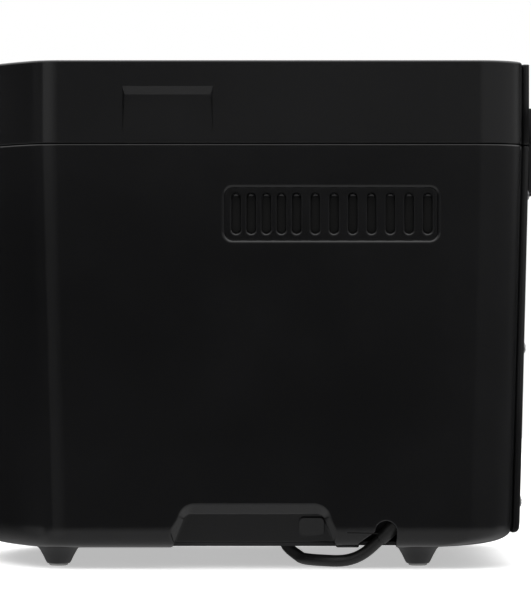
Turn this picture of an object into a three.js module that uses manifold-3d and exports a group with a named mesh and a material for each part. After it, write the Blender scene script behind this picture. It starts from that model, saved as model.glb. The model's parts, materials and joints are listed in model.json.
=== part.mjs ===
// A bread machine for horizontal loaves: tapered housing with a bowed front, full-width hinged lid,
// oven chamber with a lift-out pan, and a belt drive that turns the kneading paddle.
// Millimetres, +Z up. The front faces -Y, the hinge is at +Y, and Z = 0 is the worktop.
import * as THREE from "three";
import { mergeVertices } from "three/addons/utils/BufferGeometryUtils.js";
import Module from "manifold-3d";

const wasm = await Module();
wasm.setup();

// ---------------------------------------------------------------- driving dimensions
const HEIGHT = 300; // worktop to lid top
const SEAM_Z = 251; // middle of the gap between housing and lid
const SEAM_GAP = 0.6;
const BOTTOM_Z = 12; // underside of the housing
const HALF_WIDTH = 125; // at the seam and above
const REAR_Y = 152.5; // rear face of the housing at the seam
const BOW_CENTRE_Y = -8; // the bowed front is an arc about this line
const BOW_RADIUS = 176; // at the seam and above
const REAR_CORNER = 27;
const FRONT_CORNER = 24;
const WALL = 3;
const GAP = 0.3; // between pieces that touch
const TAPER_SIDE = 5.5; // how far each face leans in from the seam to the bottom
const TAPER_REAR = 6;
const TAPER_BOW = 8;
const ROUND_H = 14; // height of the rounded bottom edge
const ROUND_SIDE = 13; // how far it reaches in at the sides
const ROUND_REAR = 42; // at the rear, where it turns in late
const ROUND_BOW = 7; // and at the bowed front
const REAR_PANEL_T = 4.4;
const REAR_PANEL_HALF = 94;
const CENTRING_Y = 6.22; // moves the whole object so that the origin is under the middle of its box

const CHAMBER_Y = 25; // centre of the oven chamber, pan and drive shaft
const CHAMBER = { halfX: 80, halfY: 100, floorZ: 70, topZ: 243, wall: 1.2, corner: 12 };
const PAN = { halfX: 66, halfY: 86, floorZ: 88, rimZ: 222, taper: 5, wall: 1.6, corner: 16, rim: 4 };
const DECK_Z = 247;
const LINER_Z = 287; // underside of the flat part of the lid liner
const MOTOR_Y = -112;
const PULLEY_Z = 42;
const PULLEY_H = 12;
const PLATE_Z = 60; // chassis plate
const LARGE_TEETH = 56;
const SMALL_TEETH = 8;
const TOOTH_PITCH = 5;

const REAR_FACE = REAR_Y + GAP + REAR_PANEL_T;
const HINGE = { x: 62, y: REAR_FACE + 7.8, z: 251, pin: 2.5, barrel: 7, half: 20, slotHalf: 12 };
const SCOOP = { y: -57.8, half: 26.8, topZ: 284.7, bottomZ: 255, depth: 3.6, drop: 5.4 };
const GRIP = {
  y: -6.8, halfBottom: 55, halfTop: 45.3, topZ: 38, depth: 21, chamfer: 6, face: 119.7, corner: 10,
};
const VENT = { y: 38.5, z: 209.5, width: 128, height: 33.5, corner: 6, recess: 1.6 };
const CORD_R = 3.5;
const RELIEF_LENGTH = 24;

// ---------------------------------------------------------------- materials
const paint = (color, roughness, metalness = 0) =>
  new THREE.MeshStandardMaterial({ color, roughness, metalness });
const MATERIALS = {
  gloss: paint(0x111112, 0.12),
  satin: paint(0x1c1c1d, 0.45),
  dark: paint(0x232324, 0.6),
  glass: paint(0x20262a, 0.05),
  steel: paint(0xb9bbbd, 0.35, 1),
  galvanised: paint(0x9c9fa1, 0.5, 1),
  nonstick: paint(0x3a3b3e, 0.5, 0.4),
  rubber: paint(0x9a9b9a, 0.8),
  silicone: paint(0x4a4b4c, 0.75),
  blackRubber: paint(0x0d0d0d, 0.55),
  board: paint(0x1f5a35, 0.5),
  copper: paint(0x9b5a32, 0.4, 1),
  display: paint(0x22302c, 0.1),
  button: paint(0x2a2a2c, 0.3),
};

// ---------------------------------------------------------------- solids
function toSolid(geometry) {
  const bare = geometry.index ? geometry.toNonIndexed() : geometry.clone();
  for (const name of Object.keys(bare.attributes)) if (name !== "position") bare.deleteAttribute(name);
  const merged = mergeVertices(bare, 1e-3);
  return new wasm.Manifold(
    new wasm.Mesh({
      numProp: 3,
      vertProperties: merged.attributes.position.array,
      triVerts: new Uint32Array(merged.index.array),
    }),
  );
}

function toGeometry(solid) {
  const mesh = solid.getMesh();
  const geometry = new THREE.BufferGeometry();
  geometry.setAttribute("position", new THREE.BufferAttribute(mesh.vertProperties, 3));
  geometry.setIndex(new THREE.BufferAttribute(mesh.triVerts, 1));
  return geometry;
}

const X = new THREE.Vector3(1, 0, 0);
const Y = new THREE.Vector3(0, 1, 0);
const Z = new THREE.Vector3(0, 0, 1);
const ALONG_X = new THREE.Matrix4().makeBasis(Y, Z, X);

// An extruded outline. Along z the outline is (x, y), along x it is (y, z) and along y it is (x, z).
function prism(axis, outline, from, to, holes = []) {
  const shape = new THREE.Shape(outline);
  shape.holes = holes.map((h) => new THREE.Path(h));
  const geometry = new THREE.ExtrudeGeometry(shape, { depth: to - from, bevelEnabled: false });
  const basis = new THREE.Matrix4();
  if (axis === "x") basis.copy(ALONG_X).setPosition(from, 0, 0);
  else if (axis === "y") basis.makeBasis(X, Z, Y.clone().negate()).setPosition(0, to, 0);
  else basis.makeTranslation(0, 0, from);
  return toSolid(geometry.applyMatrix4(basis));
}

function arc(cx, cy, r, from, to, steps) {
  const points = [];
  for (let i = 0; i <= steps; i++) {
    const a = THREE.MathUtils.degToRad(from + ((to - from) * i) / steps);
    points.push(new THREE.Vector2(cx + r * Math.cos(a), cy + r * Math.sin(a)));
  }
  return points;
}

const circle = (cx, cy, r, steps = 24) => arc(cx, cy, r, 0, 360, steps).slice(0, -1);

function roundedRect(cx, cy, halfW, halfH, r, steps = 4) {
  return [
    ...arc(cx + halfW - r, cy + halfH - r, r, 0, 90, steps),
    ...arc(cx - halfW + r, cy + halfH - r, r, 90, 180, steps),
    ...arc(cx - halfW + r, cy - halfH + r, r, 180, 270, steps),
    ...arc(cx + halfW - r, cy - halfH + r, r, 270, 360, steps),
  ];
}

// A slot with round ends, upright, centred on (cx, cy).
const slotOutline = (cx, cy, halfW, halfH, steps = 4) => [
  ...arc(cx, cy + halfH - halfW, halfW, 0, 180, steps),
  ...arc(cx, cy - halfH + halfW, halfW, 180, 360, steps),
];

const box = (x0, x1, y0, y1, z0, z1) =>
  prism(
    "z",
    [
      new THREE.Vector2(x0, y0), new THREE.Vector2(x1, y0), new THREE.Vector2(x1, y1),
      new THREE.Vector2(x0, y1),
    ],
    z0,
    z1,
  );

const cylinder = (cx, cy, r, z0, z1, steps = 24) => prism("z", circle(cx, cy, r, steps), z0, z1);

function lathe(profile, cx, cy, steps = 32) {
  const points = profile.map(([r, z]) => new THREE.Vector2(r, z));
  const geometry = new THREE.LatheGeometry(points, steps);
  const basis = new THREE.Matrix4().makeBasis(X, Z, Y.clone().negate()).setPosition(cx, cy, 0);
  return toSolid(geometry.applyMatrix4(basis));
}

// A bar of round section along a curve.
function bar(curve, radius, steps, sides = 10) {
  const shape = new THREE.Shape(circle(0, 0, radius, sides));
  return toSolid(new THREE.ExtrudeGeometry(shape, { steps, extrudePath: curve, bevelEnabled: false }));
}

// A closed skin through rings of points, all with the same count, from the lowest ring to the highest.
// The rings lie across z, or across the axis that the basis turns z to.
function loft(rings, basis = new THREE.Matrix4()) {
  const count = rings[0].points.length;
  const positions = rings.flatMap((ring) => ring.points.flatMap((p) => [p.x, p.y, ring.z]));
  const faces = [];
  for (let r = 0; r < rings.length - 1; r++) {
    for (let i = 0; i < count; i++) {
      const a = r * count + i;
      const b = r * count + ((i + 1) % count);
      faces.push(a, b, b + count, a, b + count, a + count);
    }
  }
  const last = (rings.length - 1) * count;
  for (const [i, j, k] of THREE.ShapeUtils.triangulateShape(rings[0].points, [])) faces.push(i, k, j);
  for (const [i, j, k] of THREE.ShapeUtils.triangulateShape(rings.at(-1).points, []))
    faces.push(last + i, last + j, last + k);
  const geometry = new THREE.BufferGeometry();
  geometry.setAttribute("position", new THREE.Float32BufferAttribute(positions, 3));
  geometry.setIndex(faces);
  return toSolid(geometry.applyMatrix4(basis));
}

// ---------------------------------------------------------------- the outer form
// Plan outline: straight sides, flat rear, and a bowed front that meets the sides in tight corners.
function planOutline({ halfWidth, rearY, bow, rear, front }) {
  const cornerX = halfWidth - front;
  const cornerY = BOW_CENTRE_Y - Math.sqrt((bow - front) ** 2 - cornerX ** 2);
  const turn = THREE.MathUtils.radToDeg(Math.atan2(cornerX, BOW_CENTRE_Y - cornerY));
  return [
    ...arc(halfWidth - rear, rearY - rear, rear, 0, 90, 7),
    ...arc(-halfWidth + rear, rearY - rear, rear, 90, 180, 7),
    ...arc(-cornerX, cornerY, front, 180, 270 - turn, 4),
    ...arc(0, BOW_CENTRE_Y, bow, 270 - turn, 270 + turn, 16).slice(1, -1),
    ...arc(cornerX, cornerY, front, 270 + turn, 360, 4),
  ];
}

// The outline at one height, moved in by inset; edge is 1 where the rounded bottom edge reaches furthest in.
function formOutline(z, inset, edge = 0) {
  const lean = Math.max(0, SEAM_Z - z) / (SEAM_Z - BOTTOM_Z);
  return planOutline({
    halfWidth: HALF_WIDTH - TAPER_SIDE * lean - ROUND_SIDE * edge - inset,
    rearY: REAR_Y - TAPER_REAR * lean - ROUND_REAR * edge ** 1.5 - inset,
    bow: BOW_RADIUS - TAPER_BOW * lean - ROUND_BOW * edge - inset,
    rear: REAR_CORNER - inset,
    front: Math.max(2, FRONT_CORNER - inset),
  });
}

// The housing's form up to topZ, moved in by inset, and raised by rise so that its floor has thickness too.
function housingForm(inset, rise, topZ) {
  const rings = [];
  const steps = 6;
  for (let i = 0; i <= steps; i++) {
    const a = (i / steps) * (Math.PI / 2);
    const z = BOTTOM_Z + ROUND_H * (1 - Math.cos(a));
    rings.push({ z: z + rise, points: formOutline(z, inset, 1 - Math.sin(a)) });
  }
  rings.push({ z: topZ, points: formOutline(topZ, inset) });
  return loft(rings);
}

const lidForm = (inset, z0, z1) => prism("z", formOutline(HEIGHT, inset), z0, z1);

// ---------------------------------------------------------------- finger scoops, grips and vents
// The grip's opening, seen along X, as (y, z): a trapezium with round upper corners.
function gripOutline(grow, below) {
  const top = GRIP.topZ + grow;
  const slope = (GRIP.halfBottom - GRIP.halfTop) / (GRIP.topZ - BOTTOM_Z);
  const half = (z) => GRIP.halfBottom + grow - slope * (z - BOTTOM_Z);
  const c = Math.max(3, GRIP.corner + grow);
  const bottom = BOTTOM_Z - below;
  return [
    new THREE.Vector2(GRIP.y + half(bottom), bottom),
    ...arc(GRIP.y + half(top) - c, top - c, c, 10, 90, 4),
    ...arc(GRIP.y - half(top) + c, top - c, c, 90, 170, 4),
    new THREE.Vector2(GRIP.y - half(bottom), bottom),
  ];
}

const onSide = (side, solid) => (side > 0 ? solid : solid.mirror([1, 0, 0]));

// A pocket for the fingers, with a sloping rim that widens to the side face.
function gripPocket(side, grow, below) {
  const { face, chamfer, depth } = GRIP;
  const outer = 10;
  const ring = (z, more) => ({ z, points: gripOutline(grow + more, below) });
  const rings = [
    ring(face - depth - grow, -chamfer), ring(face - chamfer, -chamfer), ring(face + outer, outer),
  ];
  return onSide(side, loft(rings, ALONG_X));
}

// The scoop in the lid: an overhanging rim at the top and both ends, and a back that runs out below.
function scoopCut(side, grow) {
  const { y, half, topZ, bottomZ, depth, drop } = SCOOP;
  const out = 2;
  const over = (out * drop) / depth;
  const profile = [
    new THREE.Vector2(HALF_WIDTH + out, bottomZ - grow),
    new THREE.Vector2(HALF_WIDTH + out, topZ + over + grow),
    new THREE.Vector2(HALF_WIDTH - depth - grow, topZ - drop + grow / 2),
    new THREE.Vector2(HALF_WIDTH - depth - grow, topZ - drop - 2),
    new THREE.Vector2(HALF_WIDTH - grow, bottomZ - grow),
  ];
  const plan = [
    new THREE.Vector2(HALF_WIDTH + out, y - half - over - grow),
    new THREE.Vector2(HALF_WIDTH + out, y + half + over + grow),
    new THREE.Vector2(HALF_WIDTH - depth - grow, y + half - drop + grow / 2),
    new THREE.Vector2(HALF_WIDTH - depth - grow, y - half + drop - grow / 2),
  ];
  const long = prism("y", profile, y - half - over - grow, y + half + over + grow);
  return onSide(side, long.intersect(prism("z", plan, bottomZ - out - grow, topZ + over + grow)));
}

const ventFrame = (grow) =>
  roundedRect(VENT.y, VENT.z, VENT.width / 2 + grow, VENT.height / 2 + grow, VENT.corner + grow);

const SLOTS = { narrow: 5, wide: 7, narrowPitch: 8.9, widePitch: 11.05, firstY: -17.5 };

function ventSlotCentres() {
  const centres = [SLOTS.firstY];
  for (let i = 1; i < SLOTS.narrow + SLOTS.wide; i++)
    centres.push(centres.at(-1) + (i < SLOTS.narrow ? SLOTS.narrowPitch : SLOTS.widePitch));
  return centres;
}

// ---------------------------------------------------------------- housing parts
const FASCIA = { halfX: 62, z0: 160, z1: 240, corner: 8 };
const DISPLAY = { halfX: 27, z0: 202, z1: 230, corner: 3 };
const ARCH = { y: 71, half: 6.3, topZ: 28.5, flare: 9.5 };
const BASE_INSET = 22;

const fasciaOutline = (grow) =>
  roundedRect(
    0, (FASCIA.z0 + FASCIA.z1) / 2, FASCIA.halfX + grow, (FASCIA.z1 - FASCIA.z0) / 2 + grow,
    FASCIA.corner,
  );
const displayOutline = (grow) =>
  roundedRect(
    0, (DISPLAY.z0 + DISPLAY.z1) / 2, DISPLAY.halfX + grow, (DISPLAY.z1 - DISPLAY.z0) / 2 + grow,
    DISPLAY.corner,
  );
const FRONT_FAR = -220;
const FRONT_NEAR = -120;

const baseOutline = (inset) => formOutline(BOTTOM_Z, BASE_INSET - 16 + inset, 1);

function archOutline(grow) {
  const { y, half, topZ, flare } = ARCH;
  return [
    new THREE.Vector2(y - half - flare - grow, 0),
    new THREE.Vector2(y + half + grow, 0),
    ...arc(y, topZ - half, half + grow, 0, 180, 8),
    new THREE.Vector2(y - half - flare - grow, BOTTOM_Z + 3),
  ];
}

function outerHousing() {
  const top = SEAM_Z - SEAM_GAP / 2;
  let shell = housingForm(0, 0, top).subtract(housingForm(WALL, 2.5, top + 1));
  for (const side of [1, -1]) {
    const walls = gripPocket(side, 2.2, 0).intersect(housingForm(1, 0, top));
    shell = shell.add(walls).subtract(gripPocket(side, 0, 5));
    const [from, to] = side > 0 ? [90, 140] : [-140, -90];
    shell = shell.subtract(prism("x", ventFrame(0), from, to));
  }
  return shell
    .subtract(prism("z", baseOutline(0), 0, BOTTOM_Z + 2.6))
    .subtract(prism("y", fasciaOutline(GAP), FRONT_FAR, FRONT_NEAR))
    .subtract(prism("x", archOutline(0), 100, 140));
}

// A recessed grille with round-ended slots. It follows the leaning side wall.
function ventGrille(side) {
  const [from, to] = side > 0 ? [90, 140] : [-140, -90];
  let grille = housingForm(VENT.recess, 0, 245)
    .subtract(housingForm(VENT.recess + 2, 0, 246))
    .intersect(prism("x", ventFrame(-GAP), from, to));
  for (const y of ventSlotCentres())
    grille = grille.subtract(prism("x", slotOutline(y, VENT.z, 2.5, 12.3), from, to));
  return grille;
}

function basePlate() {
  const bellyR = 84;
  const bellyY = 30;
  const dome = (drop, lift) => {
    const profile = [[0, BOTTOM_Z + 2.4]];
    for (let i = 0; i <= 6; i++) {
      const r = (bellyR * i) / 6;
      profile.unshift([r, BOTTOM_Z - drop * (1 - (r / bellyR) ** 2) + lift]);
    }
    profile[0][1] = BOTTOM_Z + lift;
    const ring = profile.slice(0, -1).reverse();
    return lathe([...ring, [bellyR, BOTTOM_Z + 3], [0, BOTTOM_Z + 3]], 0, bellyY, 36);
  };
  let plate = prism("z", baseOutline(GAP), BOTTOM_Z + 0.2, BOTTOM_Z + 2.4);
  plate = plate.add(dome(3, 0.2).intersect(prism("z", baseOutline(GAP), 0, BOTTOM_Z + 2.4)));
  plate = plate.subtract(
    lathe(
      [
        [0, BOTTOM_Z - 0.6], [bellyR - 34, BOTTOM_Z + 0.4], [bellyR - 24, BOTTOM_Z + 4],
        [0, BOTTOM_Z + 4],
      ],
      0,
      bellyY,
      36,
    ),
  );
  for (const side of [1, -1]) plate = plate.subtract(gripPocket(side, 2.2 + GAP, 5));
  return plate.subtract(prism("x", archOutline(1), 90, 140));
}

function rearPanel(form, hugging, z0, z1) {
  return form.subtract(hugging).intersect(box(-REAR_PANEL_HALF, REAR_PANEL_HALF, 100, 190, z0, z1));
}

// ---------------------------------------------------------------- feet
const FEET = { x: 86, frontY: -124, rearY: 91, topR: 12.6, bottomR: 7, padR: 5.6, padZ: 2.2 };

function foot(x, y) {
  const body = lathe(
    [
      [0, 1.4], [FEET.bottomR, 1.4], [FEET.bottomR + 0.5, 2.6], [FEET.topR - 1.2, 10],
      [FEET.topR + 0.6, 12], [FEET.topR + 0.6, 20], [0, 20],
    ],
    x,
    y,
    24,
  );
  return body
    .subtract(housingForm(-GAP, -GAP, 100))
    .subtract(cylinder(x, y, FEET.padR + GAP, 0, FEET.padZ + GAP, 20));
}

const footPad = (x, y) => lathe(
  [[0, 0], [FEET.padR - 0.6, 0], [FEET.padR, 0.6], [FEET.padR, FEET.padZ], [0, FEET.padZ]],
  x,
  y,
  20,
);

// ---------------------------------------------------------------- deck, chamber and heater
const chamberRect = (grow) =>
  roundedRect(0, CHAMBER_Y, CHAMBER.halfX + grow, CHAMBER.halfY + grow, CHAMBER.corner + grow, 5);

function topDeck() {
  const slab = prism("z", formOutline(DECK_Z, WALL + GAP), DECK_Z - 3, DECK_Z);
  const lip = prism("z", chamberRect(4), DECK_Z - 12, DECK_Z);
  return slab.add(lip).subtract(prism("z", chamberRect(1.8), DECK_Z - 20, DECK_Z + 5));
}

const heaterHoles = () => [-24, 24].map(
  (x) => prism("y", circle(x, HEATER.z, HEATER.r + 0.9, 12), 120, 135),
);

function ovenChamber() {
  const { wall, floorZ, topZ } = CHAMBER;
  let chamber = prism("z", chamberRect(wall), floorZ, topZ).subtract(
    prism("z", chamberRect(0), floorZ + wall, topZ + 5),
  );
  chamber = chamber.subtract(cylinder(0, CHAMBER_Y, 15, floorZ - 5, floorZ + 10));
  for (const hole of heaterHoles()) chamber = chamber.subtract(hole);
  return chamber.subtract(prism("x", circle(CHAMBER_Y + 60, 150, 3.4, 12), 70, 90));
}

const HEATER = { z: 97, r: 3.2, clear: 7, corner: 18 };

// A tubular heater: one open loop round the pan, with both ends out through the chamber's rear wall.
function heatingElement() {
  const hx = CHAMBER.halfX - HEATER.clear;
  const hy = CHAMBER.halfY - HEATER.clear;
  const c = HEATER.corner;
  const at = (x, y) => new THREE.Vector3(x, CHAMBER_Y + y, HEATER.z);
  const legX = 24;
  const path = new THREE.CurvePath();
  const corners = [
    at(legX, 112), at(legX, hy), at(hx, hy), at(hx, -hy), at(-hx, -hy), at(-hx, hy), at(-legX, hy),
    at(-legX, 112),
  ];
  let from = corners[0];
  for (let i = 1; i < corners.length - 1; i++) {
    const r = i === 1 || i === corners.length - 2 ? 8 : c;
    const before = corners[i].clone().add(corners[i - 1].clone().sub(corners[i]).setLength(r));
    const after = corners[i].clone().add(corners[i + 1].clone().sub(corners[i]).setLength(r));
    path.add(new THREE.LineCurve3(from, before));
    path.add(new THREE.QuadraticBezierCurve3(before, corners[i], after));
    from = after;
  }
  path.add(new THREE.LineCurve3(from, corners.at(-1)));
  return bar(path, HEATER.r, 60, 7);
}

const temperatureSensor = () =>
  prism("x", circle(CHAMBER_Y + 60, 150, 3, 12), 70, 92).add(
    prism("x", circle(CHAMBER_Y + 60, 150, 6, 12), CHAMBER.halfX + CHAMBER.wall + GAP, 92),
  );

// ---------------------------------------------------------------- pan and handle
const HANDLE = { z: 226, arm: 54, wire: 2.4, y: 91.4, tabHalf: 7 };

function panShell(inset, z0, z1) {
  const ring = (z) => {
    const t = (PAN.rimZ - z) / (PAN.rimZ - PAN.floorZ);
    const half = (size) => size - PAN.taper * t - inset;
    return {
      z,
      points: roundedRect(0, CHAMBER_Y, half(PAN.halfX), half(PAN.halfY), PAN.corner - inset, 5),
    };
  };
  return loft([ring(z0), ring(z1)]);
}

function breadPan() {
  const { rimZ, floorZ, wall } = PAN;
  let pan = panShell(0, floorZ, rimZ);
  pan = pan.add(
    prism(
      "z",
      roundedRect(0, CHAMBER_Y, PAN.halfX + PAN.rim, PAN.halfY + PAN.rim, PAN.corner + PAN.rim, 5),
      rimZ - 2,
      rimZ,
    ),
  );
  pan = pan.add(cylinder(0, CHAMBER_Y, 42, 74, floorZ, 32)).subtract(
    cylinder(0, CHAMBER_Y, 40, 60, floorZ, 32),
  );
  for (const side of [1, -1]) {
    const y0 = CHAMBER_Y + side * (PAN.halfY + 1.4) - 1;
    const tab = prism(
      "y",
      [
        new THREE.Vector2(-HANDLE.tabHalf, rimZ - 12),
        new THREE.Vector2(HANDLE.tabHalf, rimZ - 12),
        ...arc(0, HANDLE.z, HANDLE.tabHalf, 0, 180, 8),
      ],
      y0,
      y0 + 2,
    );
    pan = pan.add(tab).subtract(prism("y", circle(0, HANDLE.z, HANDLE.wire + 0.4, 12), y0 - 1, y0 + 3));
  }
  return pan
    .subtract(panShell(wall, floorZ + wall + 0.4, rimZ + 2))
    .subtract(cylinder(0, CHAMBER_Y, 7.4, floorZ - 2, floorZ + 5));
}

// The bail folds down to the right, over the rim, and swings about the two tabs.
function panHandle() {
  const y = HANDLE.y;
  const c = 12;
  const at = (x, dy) => new THREE.Vector3(x, CHAMBER_Y + dy, HANDLE.z);
  const stub = y - PAN.halfY + 4;
  const corners = [
    at(0, y - stub), at(0, y), at(HANDLE.arm, y), at(HANDLE.arm, -y), at(0, -y), at(0, -y + stub),
  ];
  const path = new THREE.CurvePath();
  let from = corners[0];
  for (let i = 1; i < corners.length - 1; i++) {
    const r = i === 1 || i === corners.length - 2 ? 2.6 : c;
    const before = corners[i].clone().add(corners[i - 1].clone().sub(corners[i]).setLength(r));
    const after = corners[i].clone().add(corners[i + 1].clone().sub(corners[i]).setLength(r));
    path.add(new THREE.LineCurve3(from, before));
    path.add(new THREE.QuadraticBezierCurve3(before, corners[i], after));
    from = after;
  }
  path.add(new THREE.LineCurve3(from, corners.at(-1)));
  return bar(path, HANDLE.wire, 54, 8);
}

const panBush = () => cylinder(
  0, CHAMBER_Y, 7, PAN.floorZ - 4, PAN.floorZ + 4, 24,
).subtract(cylinder(0, CHAMBER_Y, 4.4, 60, 120, 24));

// ---------------------------------------------------------------- paddle and drive
const SHAFT_R = 4;

function kneadingPaddle() {
  const z0 = PAN.floorZ + 4.6;
  const hub = lathe([[0, z0], [10, z0], [8, z0 + 20], [0, z0 + 20]], 0, CHAMBER_Y, 20);
  const blade = prism("z", [
    ...arc(0, CHAMBER_Y, 8, 150, 250, 4),
    new THREE.Vector2(30, CHAMBER_Y - 9),
    new THREE.Vector2(44, CHAMBER_Y - 2),
    new THREE.Vector2(44, CHAMBER_Y + 2),
    new THREE.Vector2(24, CHAMBER_Y + 5),
  ], z0, z0 + 22);
  const slope = prism(
    "y",
    [
      new THREE.Vector2(-20, z0 - 1), new THREE.Vector2(60, z0 - 1), new THREE.Vector2(60, z0 + 8),
      new THREE.Vector2(30, z0 + 20), new THREE.Vector2(-20, z0 + 24),
    ],
    CHAMBER_Y - 30,
    CHAMBER_Y + 30,
  );
  return hub.add(blade.intersect(slope)).subtract(
    cylinder(0, CHAMBER_Y, SHAFT_R + GAP, z0 - 2, z0 + 15, 24),
  );
}

// The pan's own shaft, with the cross bar that the drive coupling turns.
const panShaft = () =>
  cylinder(0, CHAMBER_Y, SHAFT_R, PAN.floorZ - 6, PAN.floorZ + 18, 24)
    .add(box(-15, 15, CHAMBER_Y - 3, CHAMBER_Y + 3, PAN.floorZ - 11, PAN.floorZ - 5));

function driveCoupling() {
  const disc = cylinder(0, CHAMBER_Y, 18, 73.5, 76.5, 28);
  const dogs = [1, -1].map(
    (s) => box(-14, 14, CHAMBER_Y + s * 4.2 - 0.6, CHAMBER_Y + s * 4.2 + 4 * s, 76, 82),
  );
  return disc.add(box(9, 14, CHAMBER_Y + 4, CHAMBER_Y + 9, 76, 82)).add(
    box(-14, -9, CHAMBER_Y - 9, CHAMBER_Y - 4, 76, 82),
  );
}

const driveShaft = () => cylinder(0, CHAMBER_Y, SHAFT_R, 34, 73.2, 24);

function toothed(cx, cy, teeth, bore, z0, z1) {
  const pitchR = (teeth * TOOTH_PITCH) / (2 * Math.PI);
  const outline = [];
  for (let i = 0; i < teeth; i++) {
    for (const [share, r] of [[0.05, pitchR - 1.5], [0.25, pitchR], [0.7, pitchR], [0.9, pitchR - 1.5]]) {
      const a = ((i + share) / teeth) * 2 * Math.PI;
      outline.push(new THREE.Vector2(cx + r * Math.cos(a), cy + r * Math.sin(a)));
    }
  }
  return prism("z", outline, z0, z1).subtract(cylinder(cx, cy, bore, z0 - 1, z1 + 1, 24));
}

const pulleyRadius = (teeth) => (teeth * TOOTH_PITCH) / (2 * Math.PI);

function driveBelt() {
  const span = CHAMBER_Y - MOTOR_Y;
  const loop = (grow) => {
    const big = pulleyRadius(LARGE_TEETH) + grow;
    const small = pulleyRadius(SMALL_TEETH) + grow;
    const lean = THREE.MathUtils.radToDeg(Math.asin((big - small) / span));
    return [
      ...arc(0, CHAMBER_Y, big, -lean, 180 + lean, 28),
      ...arc(0, MOTOR_Y, small, 180 + lean, 360 - lean, 8),
    ];
  };
  return prism("z", loop(2.4), PULLEY_Z + 2, PULLEY_Z + PULLEY_H - 2, [loop(0.5)]);
}

const MOTOR = { r: 34, z0: 66, z1: 122, shaftR: 3 };
const motorBody = () => cylinder(0, MOTOR_Y, MOTOR.r, MOTOR.z0, MOTOR.z1, 32).subtract(
  cylinder(0, MOTOR_Y, 18, MOTOR.z0 - 1, MOTOR.z1 + 1, 24),
);
const motorEndPlate = () => prism(
  "z", roundedRect(0, MOTOR_Y, 42, 30, 8), 62.6, 65.7,
).subtract(cylinder(0, MOTOR_Y, 4, 60, 70, 16));
const motorRotor = () => cylinder(0, MOTOR_Y, 17, MOTOR.z0 + 2, MOTOR.z1 - 2, 24).add(
  cylinder(0, MOTOR_Y, MOTOR.shaftR, 36, MOTOR.z1 + 4, 16),
);
const motorPulley = () => toothed(
  0, MOTOR_Y, SMALL_TEETH, MOTOR.shaftR + GAP, PULLEY_Z, PULLEY_Z + PULLEY_H,
);
const bearingHousing = () => cylinder(0, CHAMBER_Y, 13, PLATE_Z - 4, 72, 24).add(
  cylinder(0, CHAMBER_Y, 24, PLATE_Z + 2.4, PLATE_Z + 6, 24),
).subtract(cylinder(0, CHAMBER_Y, SHAFT_R + 0.4, 40, 80, 24));

function chassisPlate() {
  const half = 62;
  const plate = box(-half, half, MOTOR_Y - 34, CHAMBER_Y + 60, PLATE_Z, PLATE_Z + 2);
  const legs = [1, -1].map(
    (s) => box(
      Math.min(s * half, s * (half - 2)), Math.max(s * half, s * (half - 2)), MOTOR_Y + 20,
      CHAMBER_Y + 50, BOTTOM_Z + 3, PLATE_Z + 1,
    ),
  );
  return plate.add(legs[0]).add(legs[1])
    .subtract(cylinder(0, CHAMBER_Y, 13.4, PLATE_Z - 5, PLATE_Z + 5, 24))
    .subtract(cylinder(0, MOTOR_Y, 8, PLATE_Z - 5, PLATE_Z + 5, 16));
}

const motorCapacitor = () => prism("y", circle(-77, 40, 12.5, 20), -60, -12);
const powerBoard = () =>
  box(66, 91, -66, 10, 24, 25.6)
    .add(box(69, 88, -58, -34, 25, 46))
    .add(box(71, 86, -24, -6, 25, 40));
const controlBoard = () => box(-54, 54, -152, -150.4, 166, 236);

// ---------------------------------------------------------------- control panel
const onBow = (z) => BOW_RADIUS - (TAPER_BOW * (SEAM_Z - z)) / (SEAM_Z - BOTTOM_Z);
const BUTTONS = {
  menu: [-17, 6], loaf_size: [-9, 6], start_stop: [0, 8.5], time_minus: [9, 6], time_plus: [17, 6],
};
const BUTTON_Z = 180;

// A cylinder that points out of the bowed front at a given angle from its middle.
function radialRod(angle, z, r, from, to, steps = 20) {
  const rod = prism("y", circle(0, z, r, steps), -to, -from);
  return rod.rotate([0, 0, angle]).translate([0, BOW_CENTRE_Y, 0]);
}

function controlFascia() {
  let fascia = housingForm(-0.8, 0, 246).subtract(housingForm(WALL, 0, 247)).intersect(
    prism("y", fasciaOutline(0), FRONT_FAR, FRONT_NEAR),
  );
  fascia = fascia.subtract(prism("y", displayOutline(GAP), FRONT_FAR, FRONT_NEAR));
  for (const [angle, r] of Object.values(BUTTONS)) fascia = fascia.subtract(
    radialRod(angle, BUTTON_Z, r + 0.4, 140, 200),
  );
  return fascia;
}

const displayWindow = () => housingForm(-0.5, 0, 246).subtract(housingForm(1.6, 0, 247)).intersect(
  prism("y", displayOutline(0), FRONT_FAR, FRONT_NEAR),
);

function pushButton(angle, r) {
  const face = onBow(BUTTON_Z);
  return radialRod(angle, BUTTON_Z, r, face - 5, face + 2.2).add(
    radialRod(angle, BUTTON_Z, 2, face - 16, face - 4, 12),
  );
}

// ---------------------------------------------------------------- lid
const WINDOW = { halfX: 62, halfY: 58, corner: 14 };
const windowRect = (grow) => roundedRect(
  0, CHAMBER_Y, WINDOW.halfX + grow, WINDOW.halfY + grow, WINDOW.corner + grow, 5,
);
const LID_LOW = SEAM_Z + SEAM_GAP / 2;
const STEAM = { y: 118, count: 6, pitch: 11, half: 2, length: 9 };

function steamSlots(z0, z1) {
  const slots = [];
  for (let i = 0; i < STEAM.count; i++)
    slots.push(
      prism(
        "z",
        slotOutline((i - (STEAM.count - 1) / 2) * STEAM.pitch, STEAM.y, STEAM.half, STEAM.length),
        z0,
        z1,
      ),
    );
  return slots;
}

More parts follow.
